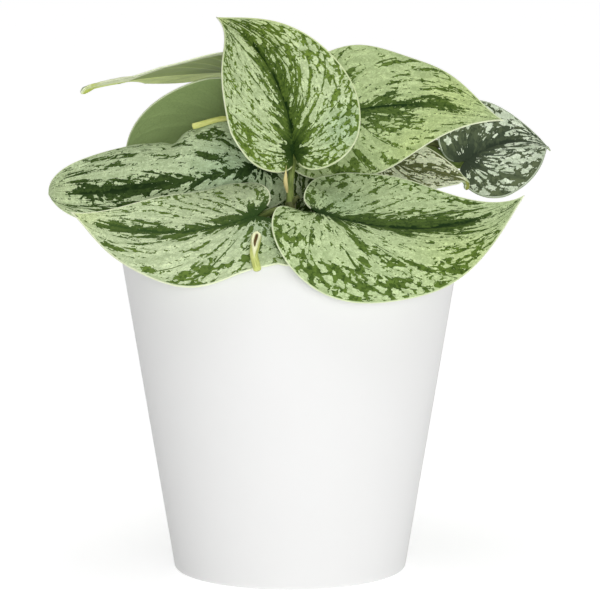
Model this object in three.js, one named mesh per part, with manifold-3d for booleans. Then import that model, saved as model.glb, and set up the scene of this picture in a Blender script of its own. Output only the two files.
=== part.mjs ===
// Satin pothos in a white tapered pot. Millimetres, +Z up, origin at the centre of the pot's foot,
// the pot's front towards -Y.
import * as THREE from 'three';
import { mergeVertices } from 'three/addons/utils/BufferGeometryUtils.js';
import Module from 'manifold-3d';

const wasm = await Module();
wasm.setup();

// ---------- driving dimensions ----------

const GAP = 0.3; // clearance between neighbouring pieces
const POT_HEIGHT = 130;
const POT_RIM_RADIUS = 67.5;
const POT_FOOT_RADIUS = 46;
const POT_WALL = 3.6;
const POT_FLOOR = 6;
const POT_FOOT_EDGE = 1.8; // rounding at the foot
const POT_LIP = 1.1; // rounding at the rim
const POT_SEGMENTS = 48;
const SOIL_TOP = 112;
const SOIL_MOUND = 3; // height of the soil's low dome
const BLADE = 0.8; // thickness of a leaf blade
const VINE_RADIUS = 2.6;
const STALK_RADIUS = 1.4;
const JOINT_REACH = 2; // a stalk meets its blade this far from the base point
const JOINT_GAP = 0.9; // clearance between a stalk's end and its blade

// Each leaf hangs from its base point. Angles are in degrees, pairs are [left, right] seen from the
// base to the tip with the upper face up. length is the midrib's, width and lobes are shares of it.
// heading turns round +Z from +X, pitch lifts the tip, roll lifts the left side. bend droops the
// blade along its length, hook droops the last third, sweep turns it to the left, twist turns it
// about the midrib. fold raises a half from the midrib, curl rolls its margin down again.
// skew widens the left half, and waves gives each margin's height, count along the blade and phase.
const LEAVES = {
  leaf_centre: {
    base: [1.3, -18, 166.5], length: 81, width: 0.76, lobes: [0.13, 0.14], taper: 0,
    heading: 94, pitch: 56, roll: -6, bend: 18, hook: 4, sweep: 43, twist: 3,
    fold: [26, 37], curl: [-28, 37], skew: 1.04, waves: [[-0.6, 1.4, 0], [3.6, 0.9, 0.4]],
  },
  leaf_front_right: {
    base: [11, -47, 146], length: 84, width: 0.96, lobes: [0.09, 0.19], taper: 0,
    heading: -2, pitch: -18, roll: 5, bend: -31, hook: -26, sweep: 37, twist: 27,
    fold: [5, 9], curl: [-19, 83], skew: 0.96, waves: [[-0.8, 1.6, -0.2], [-1.5, 1.7, 0.1]],
  },
  leaf_front_left: {
    base: [-12.5, -46, 145], length: 75, width: 0.86, lobes: [0.16, 0.11], taper: 0,
    heading: 186, pitch: -19, roll: -21, bend: -17, hook: -1, sweep: -47, twist: -19,
    fold: [7, 4], curl: [30, 16], skew: 1.01, waves: [[1.3, 2.1, 0], [1.7, 1.3, 0.25]],
  },
  leaf_back_right: {
    base: [16, 6, 179.5], length: 70, width: 0.86, lobes: [0.2, 0.31], taper: 0,
    heading: 4, pitch: 18, roll: 59, bend: 8, hook: -15, sweep: -44, twist: -19,
    fold: [7, 3], curl: [23, 9], skew: 0.99, waves: [[2.4, 1.9, -0.13], [0.5, 1.4, 0]],
  },
  leaf_upper_left: {
    base: [-11, -7, 161], length: 98, width: 0.51, lobes: [0.14, 0.1], taper: -0.7,
    heading: 197, pitch: -9, roll: -44, bend: 50, hook: 37, sweep: -34, twist: -36,
    fold: [-23, 8], curl: [23, 70], skew: 0.75, waves: [[0, 1, 0], [11, 1, 0.15]],
  },
  leaf_far_right: {
    base: [70.5, 30, 160], length: 56, width: 0.82, lobes: [0.16, 0.17], taper: 0,
    heading: 40, pitch: 24, roll: 61, bend: 35, hook: 12, sweep: -27, twist: -31,
    fold: [26, 23], curl: [16, 5], skew: 0.94, waves: [[0, 1, 0], [0, 1, 0]],
  },
  leaf_hooked: {
    base: [37.5, 14, 161.5], length: 36, width: 0.8, lobes: [0.2, 0.2], taper: 0,
    heading: -9, pitch: -11, roll: 34, bend: 16, hook: 30, sweep: 13, twist: 7,
    fold: [8, 6], curl: [14, 15], skew: 1, waves: [[0, 1, 0], [0, 1, 0]],
  },
  leaf_top_left: {
    base: [-17.8, 40, 196], length: 71, width: 0.66, lobes: [0.2, 0.2], taper: 0.6,
    heading: 201, pitch: 0, roll: 8, bend: 9, hook: 18, sweep: -4, twist: 18,
    fold: [6, 10], curl: [6, 19], skew: 1, waves: [[2.9, 1, 0.05], [0, 1, 0]],
  },
  leaf_back_left: {
    base: [-21, 32, 171], length: 66, width: 0.87, lobes: [0.2, 0.2], taper: 0,
    heading: 158, pitch: -17, roll: 54, bend: -28, hook: -5, sweep: -18, twist: -20,
    fold: [6, 8], curl: [14, 20], skew: 1.01, waves: [[0, 1.5, 0], [0, 1.5, 0]],
  },
  leaf_rear: {
    base: [12, 58, 151], length: 74, width: 0.82, lobes: [0.18, 0.18], taper: 0,
    heading: 82, pitch: 12, roll: -6, bend: 50, hook: 8, sweep: -6, twist: 0,
    fold: [12, 12], curl: [22, 22], skew: 1, waves: [[1, 1.5, 0.2], [1, 1.5, 0.2]],
  },
  leaf_rear_right: {
    base: [32, 38, 141], length: 68, width: 0.84, lobes: [0.18, 0.18], taper: 0,
    heading: 40, pitch: 0, roll: -4, bend: 34, hook: 8, sweep: 12, twist: 0,
    fold: [10, 12], curl: [18, 24], skew: 1, waves: [[1, 1.5, 0.6], [1, 1.4, 0.3]],
  },
  leaf_rear_left: {
    base: [-32, 30, 142], length: 72, width: 0.82, lobes: [0.18, 0.18], taper: 0,
    heading: 134, pitch: 4, roll: 6, bend: 36, hook: 8, sweep: -12, twist: 0,
    fold: [12, 10], curl: [24, 18], skew: 1, waves: [[1, 1.5, 0.4], [1, 1.5, 0.4]],
  },
  leaf_rear_low: {
    base: [-8, 44, 134], length: 58, width: 0.84, lobes: [0.18, 0.18], taper: 0,
    heading: 102, pitch: 8, roll: -2, bend: 64, hook: 10, sweep: 8, twist: 0,
    fold: [10, 10], curl: [20, 20], skew: 1, waves: [[1, 1.5, 0], [1, 1.4, 0.3]],
  },
  leaf_inner: {
    base: [1, 14, 138], length: 33, width: 0.8, lobes: [0.15, 0.15], taper: 0,
    heading: 90, pitch: 80, roll: 0, bend: 12, hook: 4, sweep: 6, twist: 0,
    fold: [10, 12], curl: [14, 12], skew: 1, waves: [[0.5, 1.5, 0], [0.5, 1.4, 0.3]],
  },
  leaf_low_right: {
    base: [36, 2, 138], length: 44, width: 0.8, lobes: [0.18, 0.18], taper: 0,
    heading: 4, pitch: 8, roll: -4, bend: 26, hook: 8, sweep: 8, twist: 0,
    fold: [10, 12], curl: [14, 16], skew: 1, waves: [[1, 1.5, 0.3], [1, 1.4, 0]],
  },
  leaf_low_left: {
    base: [-38, 10, 134], length: 42, width: 0.8, lobes: [0.18, 0.18], taper: 0,
    heading: 165, pitch: 14, roll: 4, bend: 30, hook: 8, sweep: -8, twist: 0,
    fold: [12, 10], curl: [16, 14], skew: 1, waves: [[1, 1.5, 0.7], [1, 1.4, 0.4]],
  },
};

// Each vine runs from its hole in the soil along path. Each of its stalks starts on the vine and
// passes its via points to the joint under its leaf.
const VINES = {
  vine_front: {
    path: [[-1, -22, 80], [-1, -23, 112], [-0.5, -26, 128], [0.5, -27, 139], [0.3, -26, 148]],
    stalks: {
      leaf_front_left: [[-0.8, -24.5, 120], [-6, -30, 130]],
      leaf_front_right: [[0, -26.5, 133], [4, -32, 138]],
      leaf_centre: [[0.4, -26.5, 145], [0.3, -22, 156]],
    },
  },
  vine_right: {
    path: [[24, 6, 80], [24, 8, 112], [22, 10, 132], [21, 12, 148], [20.5, 14, 160]],
    stalks: {
      leaf_back_right: [[20.5, 13.5, 157], [18, 14, 168]],
      leaf_hooked: [[21.5, 11, 140], [29, 13, 149]],
      leaf_far_right: [[20.8, 12.5, 151], [30, 28, 160], [54, 36, 166]],
      leaf_low_right: [[24, 8.5, 116], [29, 6, 127]],
    },
  },
  vine_left: {
    path: [[-22, 2, 80], [-22, 4, 112], [-22, 10, 132], [-21.5, 14, 146], [-21.5, 17, 158]],
    stalks: {
      leaf_upper_left: [[-22, 8, 126], [-17, 1, 142]],
      leaf_back_left: [[-21.5, 16, 154], [-21.5, 21, 161]],
      leaf_rear_left: [[-22, 5.5, 117], [-26, 18, 130]],
      leaf_low_left: [[-22, 4.5, 114], [-28, 4, 126]],
    },
  },
  vine_rear: {
    path: [[2, 30, 80], [2, 30, 112], [2.5, 31, 128], [3, 32, 144]],
    stalks: {
      leaf_top_left: [[3, 32, 141], [0, 36, 160], [-9, 41, 181]],
      leaf_rear: [[2.7, 31.4, 134], [5, 38, 141]],
      leaf_rear_right: [[2.5, 31, 126], [14, 32, 133]],
      leaf_rear_low: [[2, 30.5, 118], [0, 36, 127]],
      leaf_inner: [[2, 30.2, 121], [1.6, 25, 131]],
    },
  },
};

// ---------- solids ----------

function toManifold(geometry) {
  const bare = new THREE.BufferGeometry();
  bare.setAttribute('position', geometry.getAttribute('position').clone());
  if (geometry.index) bare.setIndex(geometry.index.clone());
  const merged = mergeVertices(bare, 1e-4);
  const index = [];
  const source = merged.index.array;
  for (let i = 0; i < source.length; i += 3) {
    const [a, b, c] = [source[i], source[i + 1], source[i + 2]];
    if (a !== b && b !== c && c !== a) index.push(a, b, c);
  }
  return new wasm.Manifold(new wasm.Mesh({
    numProp: 3,
    vertProperties: new Float32Array(merged.getAttribute('position').array),
    triVerts: new Uint32Array(index),
  }));
}

function fromManifold(solid) {
  const mesh = solid.getMesh();
  const geometry = new THREE.BufferGeometry();
  geometry.setAttribute('position', new THREE.BufferAttribute(new Float32Array(mesh.vertProperties), 3));
  geometry.setIndex(new THREE.BufferAttribute(new Uint32Array(mesh.triVerts), 1));
  geometry.computeVertexNormals();
  return geometry;
}

// A closed round tube along points, with its radius given at each share of the way.
function tube(points, radiusAt, steps, sides) {
  const curve = new THREE.CatmullRomCurve3(points, false, 'centripetal');
  const positions = [];
  const index = [];
  let normal = null;
  let tangentBefore = null;
  for (let i = 0; i <= steps; i++) {
    const u = i / steps;
    const centre = curve.getPointAt(u);
    const tangent = curve.getTangentAt(u);
    if (normal === null) {
      const up = Math.abs(tangent.z) > 0.9 ? new THREE.Vector3(1, 0, 0) : new THREE.Vector3(0, 0, 1);
      normal = up.clone().cross(tangent).normalize();
    } else {
      const turn = new THREE.Quaternion().setFromUnitVectors(tangentBefore, tangent);
      normal.applyQuaternion(turn).normalize();
    }
    tangentBefore = tangent;
    const side = tangent.clone().cross(normal);
    for (let k = 0; k < sides; k++) {
      const angle = (2 * Math.PI * k) / sides;
      const point = centre.clone();
      point.addScaledVector(normal, radiusAt(u) * Math.cos(angle));
      point.addScaledVector(side, radiusAt(u) * Math.sin(angle));
      positions.push(point.x, point.y, point.z);
    }
  }
  for (let i = 0; i < steps; i++) {
    for (let k = 0; k < sides; k++) {
      const a = i * sides + k;
      const b = i * sides + ((k + 1) % sides);
      index.push(a, b, b + sides, a, b + sides, a + sides);
    }
  }
  const last = steps * sides;
  for (let k = 1; k < sides - 1; k++) {
    index.push(0, k + 1, k);
    index.push(last, last + k, last + k + 1);
  }
  const geometry = new THREE.BufferGeometry();
  geometry.setAttribute('position', new THREE.Float32BufferAttribute(positions, 3));
  geometry.setIndex(index);
  return geometry;
}

// ---------- leaf blades ----------

const rad = THREE.MathUtils.degToRad;
const SPINE_STEPS = 40;
const OUTLINE = []; // places along the outline, 0 at the sinus, 3 at the tip
for (let i = 0; i <= 3; i++) OUTLINE.push(0.34 + (i * 0.66) / 3);
for (let i = 1; i <= 5; i++) OUTLINE.push(1 + i / 5);
for (let i = 1; i <= 7; i++) OUTLINE.push(2 + i / 7);
const RINGS = 4; // cells from the midrib to the margin

function bezier(a, b, c, d, t) {
  const s = 1 - t;
  const mix = (k) => s * s * s * a[k] + 3 * s * s * t * b[k] + 3 * s * t * t * c[k] + t * t * t * d[k];
  return [mix(0), mix(1)];
}

// Half outline of a heart-shaped leaf: its basal lobe, its shoulder and its tapering tip.
function outline(t, width, lobe, taper) {
  const w = width / 2;
  if (t < 1) {
    return bezier([0, 0], [-lobe / 2, 0.02], [-lobe, 0.07], [-lobe, 0.44 * w], t);
  }
  if (t < 2) {
    return bezier([-lobe, 0.44 * w], [-lobe, 0.78 * w], [-0.04, w], [0.17, w], t - 1);
  }
  const shoulder = 0.52 - 0.1 * taper;
  const point = [0.78 - 0.2 * taper, 0.07 - 0.05 * taper];
  return bezier([0.17, w], [shoulder, w], point, [1, 0], t - 2);
}

// The point at share r of the side vein that ends at place t of the outline.
function veinPoint(t, r, width, lobe, taper) {
  const end = outline(t, width, lobe, taper);
  const root = Math.pow(Math.min(Math.max((t - 1) / 2, 0), 1), 1.35);
  const middle = [root + 0.35 * (end[0] - root), 0.62 * end[1]];
  const s = 1 - r;
  return [
    s * s * root + 2 * s * r * middle[0] + r * r * end[0],
    2 * s * r * middle[1] + r * r * end[1],
  ];
}

// Frames along the midrib: place, direction, left side and upper face normal.
function spine(leaf) {
  const heading = rad(leaf.heading);
  const pitch = rad(leaf.pitch);
  const roll = rad(leaf.roll);
  let along = new THREE.Vector3(
    Math.cos(pitch) * Math.cos(heading), Math.cos(pitch) * Math.sin(heading), Math.sin(pitch));
  let left = new THREE.Vector3(-Math.sin(heading), Math.cos(heading), 0);
  let up = along.clone().cross(left);
  left.multiplyScalar(Math.cos(roll)).addScaledVector(up, Math.sin(roll));
  up = along.clone().cross(left);
  const place = new THREE.Vector3(...leaf.base);
  const frames = [{ place: place.clone(), along, left, up }];
  for (let i = 0; i < SPINE_STEPS; i++) {
    const share = (i + 0.5) / SPINE_STEPS;
    const inHook = Math.max(0, (share - 0.7) / 0.3);
    const droop = rad(leaf.bend + (leaf.hook * inHook * 2) / 0.3) / SPINE_STEPS;
    const turn = rad(leaf.sweep) / SPINE_STEPS;
    const twist = rad(leaf.twist) / SPINE_STEPS;
    const next = along.clone().addScaledVector(up, -droop).addScaledVector(left, turn).normalize();
    place.addScaledVector(along.clone().add(next), leaf.length / SPINE_STEPS / 2);
    left = left.clone().addScaledVector(along, -turn).addScaledVector(up, twist);
    left.addScaledVector(next, -left.dot(next)).normalize();
    along = next;
    up = along.clone().cross(left);
    frames.push({ place: place.clone(), along, left, up });
  }
  return frames;
}

// A point of the blade's middle surface from its flat place; side is 1 on the left, -1 on the right.
function bladePoint(leaf, frames, side, x, y) {
  const half = side > 0 ? 0 : 1;
  const breadth = (leaf.width / 2) * (side > 0 ? leaf.skew : 2 - leaf.skew) * leaf.length;
  const run = Math.min(Math.max(x, 0), 1) * SPINE_STEPS;
  const i = Math.min(Math.floor(run), SPINE_STEPS - 1);
  const mix = (key) => frames[i][key].clone().lerp(frames[i + 1][key], run - i);
  const point = mix('place');
  const up = mix('up');
  const across = y * leaf.length;
  const fold = rad(leaf.fold[half]);
  const rate = rad(leaf.curl[half]) / breadth + 1e-9;
  const out = (Math.sin(fold) - Math.sin(fold - rate * across)) / rate;
  const rise = (Math.cos(fold - rate * across) - Math.cos(fold)) / rate;
  const [height, count, phase] = leaf.waves[half];
  const wave = height * Math.pow(across / breadth, 2) * Math.sin(2 * Math.PI * (count * x + phase));
  point.addScaledVector(mix('along'), Math.min(x, 0) * leaf.length);
  point.addScaledVector(mix('left'), side * out);
  point.addScaledVector(up, rise + wave);
  return point;
}

function bladeGeometry(leaf) {
  const frames = spine(leaf);
  const known = new Map();
  const middle = [];
  const faces = [];
  const vertex = (side, x, y) => {
    const key = `${Math.round(x * 1e5)},${Math.round(side * y * 1e5)}`;
    if (!known.has(key)) {
      known.set(key, middle.length);
      middle.push(bladePoint(leaf, frames, side, x, y));
    }
    return known.get(key);
  };
  for (const side of [1, -1]) {
    const width = leaf.width * (side > 0 ? leaf.skew : 2 - leaf.skew);
    const lobe = leaf.lobes[side > 0 ? 0 : 1];
    const rows = OUTLINE.map((t) => {
      const row = [];
      for (let j = 0; j <= RINGS; j++) {
        const [x, y] = veinPoint(t, j / RINGS, width, lobe, leaf.taper);
        row.push(vertex(side, x, y));
      }
      return row;
    });
    for (let i = 0; i + 1 < rows.length; i++) {
      for (let j = 0; j < RINGS; j++) {
        const corners = [rows[i][j], rows[i + 1][j], rows[i + 1][j + 1], rows[i][j + 1]];
        if (side < 0) corners.reverse();
        for (const [a, b, c] of [[corners[0], corners[1], corners[2]], [corners[0], corners[2], corners[3]]]) {
          if (a !== b && b !== c && c !== a) faces.push([a, b, c]);
        }
      }
    }
  }
  const normals = middle.map(() => new THREE.Vector3());
  const edges = new Map();
  for (const [a, b, c] of faces) {
    const ab = middle[b].clone().sub(middle[a]);
    const ac = middle[c].clone().sub(middle[a]);
    const area = ab.cross(ac);
    for (const v of [a, b, c]) normals[v].add(area);
    for (const [p, q] of [[a, b], [b, c], [c, a]]) {
      if (edges.has(`${q},${p}`)) edges.delete(`${q},${p}`);
      else edges.set(`${p},${q}`, [p, q]);
    }
  }
  const positions = [];
  for (const offset of [BLADE / 2, -BLADE / 2]) {
    middle.forEach((point, v) => {
      const moved = point.clone().addScaledVector(normals[v].clone().normalize(), offset);
      positions.push(moved.x, moved.y, moved.z);
    });
  }
  const count = middle.length;
  const index = [];
  for (const [a, b, c] of faces) index.push(a, b, c, a + count, c + count, b + count);
  for (const [p, q] of edges.values()) index.push(q, p, p + count, q, p + count, q + count);
  const geometry = new THREE.BufferGeometry();
  geometry.setAttribute('position', new THREE.Float32BufferAttribute(positions, 3));
  geometry.setIndex(index);
  geometry.computeVertexNormals();
  return geometry;
}

// ---------- vines and their stalks ----------

const vector = (p) => new THREE.Vector3(p[0], p[1], p[2]);

// A stalk ends square to its blade, just under the midrib's first millimetres.
function stalkGeometry(points, leaf) {
  const { place, along, up } = spine(leaf)[0];
  const joint = place.clone().addScaledVector(along, JOINT_REACH);
  const end = joint.clone().addScaledVector(up, -(BLADE / 2 + JOINT_GAP));
  const below = joint.clone().addScaledVector(up, -5).addScaledVector(along, -1.5);
  const way = [...points.map(vector), below, end];
  const radius = (u) => STALK_RADIUS * (1.15 - 0.55 * u);
  return tube(way, radius, 12, 7);
}

function vineGeometry(vine) {
  const length = vine.path.length - 1;
  const bump = (u) => Math.pow(Math.abs(Math.cos(Math.PI * length * u)), 12);
  const body = tube(vine.path.map(vector), (u) => VINE_RADIUS * (0.82 + 0.14 * bump(u)), 22, 9);
  let solid = toManifold(body);
  for (const [name, points] of Object.entries(vine.stalks)) {
    solid = solid.add(toManifold(stalkGeometry(points, LEAVES[name])));
  }
  return fromManifold(solid);
}

// ---------- pot and soil ----------

function lathe(profile, segments) {
  return new THREE.LatheGeometry(profile.map(([r, z]) => new THREE.Vector2(r, z)), segments);
}

// Lathe profiles turn round Y; this stands them on Z.
function stand(geometry) {
  return geometry.rotateX(Math.PI / 2);
}

const slope = (POT_RIM_RADIUS - POT_FOOT_RADIUS) / POT_HEIGHT;
const outerRadius = (z) => POT_FOOT_RADIUS + slope * z;
const innerRadius = (z) => outerRadius(z) - POT_WALL;

function arc(cr, cz, radius, from, to, steps) {
  const points = [];
  for (let i = 0; i <= steps; i++) {
    const angle = rad(from + ((to - from) * i) / steps);
    points.push([cr + radius * Math.cos(angle), cz + radius * Math.sin(angle)]);
  }
  return points;
}

function potSolid() {
  const edge = POT_FOOT_EDGE;
  const profile = [
    [0, 0],
    ...arc(outerRadius(edge) - edge, edge, edge, -90, -6, 3),
    ...arc(outerRadius(POT_HEIGHT - POT_LIP) - POT_LIP, POT_HEIGHT - POT_LIP, POT_LIP, 0, 90, 3),
    ...arc(innerRadius(POT_HEIGHT - POT_LIP) + POT_LIP, POT_HEIGHT - POT_LIP, POT_LIP, 90, 180, 2),
    [innerRadius(60), 60],
    [innerRadius(POT_FLOOR + 2), POT_FLOOR + 2],
    [innerRadius(POT_FLOOR) - 2, POT_FLOOR],
    [0, POT_FLOOR],
  ];
  return toManifold(stand(lathe(profile, POT_SEGMENTS)));
}

function soilSolid() {
  const low = POT_FLOOR + GAP;
  const profile = [
    [0, low],
    [innerRadius(low) - 2.6, low],
    [innerRadius(low + 3) - GAP - 0.2, low + 3],
    [innerRadius(60) - GAP - 0.2, 60],
    [innerRadius(SOIL_TOP) - GAP - 0.2, SOIL_TOP],
    [innerRadius(SOIL_TOP) - 12, SOIL_TOP + SOIL_MOUND * 0.55],
    [innerRadius(SOIL_TOP) - 30, SOIL_TOP + SOIL_MOUND * 0.9],
    [0, SOIL_TOP + SOIL_MOUND],
  ];
  let solid = toManifold(stand(lathe(profile, POT_SEGMENTS)));
  for (const vine of Object.values(VINES)) {
    const way = vine.path.map(vector);
    way[0].lerp(way[1], -0.02);
    solid = solid.subtract(toManifold(tube(way, () => VINE_RADIUS + GAP + 0.2, 22, 10)));
  }
  return solid;
}

// ---------- young rolled leaves ----------

// A thin spear: a leaf still rolled tight.
const SPEAR = {
  points: [[-21.5, 15, 159], [-20, 15, 168], [-20.5, 13, 175.5], [-26, 10, 179], [-38.5, 5, 176]],
  radius: 0.95,
};
// A small rolled leaf, open at its mouth and bent at its end.
const ROLLED = {
  points: [[-12.1, -64.1, 139.8], [-12.7, -69.9, 135.3], [-12.8, -72.4, 132.9], [-11.5, -77.3, 128.3]],
  radius: 2.1,
  wall: 0.7,
};

function spearGeometry() {
  const points = SPEAR.points.map(vector);
  return tube(points, (u) => SPEAR.radius * (1 - 0.15 * u), 12, 8);
}

function rolledGeometry() {
  const points = ROLLED.points.map(vector);
  const outer = tube(points, (u) => ROLLED.radius * (1 - 0.25 * u), 10, 12);
  const mouth = [-0.2, 0.2, 0.6].map((share) => points[0].clone().lerp(points[1], share));
  const inner = tube(mouth, () => ROLLED.radius - ROLLED.wall, 4, 10);
  return fromManifold(toManifold(outer).subtract(toManifold(inner)));
}

// ---------- the object ----------

const materials = {
  pot: { color: 0xf2f2f0, roughness: 0.55, metalness: 0 },
  soil: { color: 0x3a2a1e, roughness: 0.95, metalness: 0 },
  vine: { color: 0x8f9a55, roughness: 0.6, metalness: 0 },
  leaf: { color: 0x9bb487, roughness: 0.45, metalness: 0 },
  darkLeaf: { color: 0x64736a, roughness: 0.45, metalness: 0 },
  young: { color: 0xd2d884, roughness: 0.5, metalness: 0 },
};

const plant = new THREE.Group();

function addPiece(name, geometry, look) {
  const mesh = new THREE.Mesh(geometry, new THREE.MeshStandardMaterial(materials[look]));
  mesh.name = name;
  plant.add(mesh);
}

addPiece('pot', fromManifold(potSolid()), 'pot');
addPiece('potting_soil', fromManifold(soilSolid()), 'soil');
for (const [name, vine] of Object.entries(VINES)) addPiece(name, vineGeometry(vine), 'vine');
for (const [name, leaf] of Object.entries(LEAVES)) {
  addPiece(name, bladeGeometry(leaf), name === 'leaf_far_right' ? 'darkLeaf' : 'leaf');
}
addPiece('rolled_spear', spearGeometry(), 'young');
addPiece('rolled_leaf', rolledGeometry(), 'young');

export default plant;
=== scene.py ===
"""Satin pothos in a white tapered pot: blades, stalks, soil, pot and studio."""

import itertools
import math
import random

import bmesh
import bpy
import numpy as np
from mathutils import Matrix, Vector


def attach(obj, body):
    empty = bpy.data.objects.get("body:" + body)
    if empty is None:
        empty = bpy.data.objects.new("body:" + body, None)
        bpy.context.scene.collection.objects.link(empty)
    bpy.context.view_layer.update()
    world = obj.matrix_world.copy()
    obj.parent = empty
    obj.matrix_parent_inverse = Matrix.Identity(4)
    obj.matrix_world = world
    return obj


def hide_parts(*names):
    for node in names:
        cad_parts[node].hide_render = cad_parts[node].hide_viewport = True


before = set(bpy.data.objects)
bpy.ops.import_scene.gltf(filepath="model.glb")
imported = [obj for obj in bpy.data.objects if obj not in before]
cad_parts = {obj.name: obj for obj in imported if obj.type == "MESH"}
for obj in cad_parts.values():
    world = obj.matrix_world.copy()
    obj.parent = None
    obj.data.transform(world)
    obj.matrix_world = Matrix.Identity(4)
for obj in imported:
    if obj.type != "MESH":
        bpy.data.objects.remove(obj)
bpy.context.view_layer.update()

MM = 0.001

# ---------- sizes, in millimetres ----------

POT_HEIGHT = 130.0
POT_RIM_RADIUS = 67.5
POT_FOOT_RADIUS = 46.0
POT_WALL = 3.6
POT_LIP = 1.1
POT_FOOT_EDGE = 1.8
POT_FLOOR = 6.0
SOIL_TOP = 112.0
SOIL_MOUND = 3.0
BLADE_THICKNESS = 0.5
VINE_RADIUS = 2.2
STALK_RADIUS = 1.4
ROLLED_RADIUS = 2.15

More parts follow.
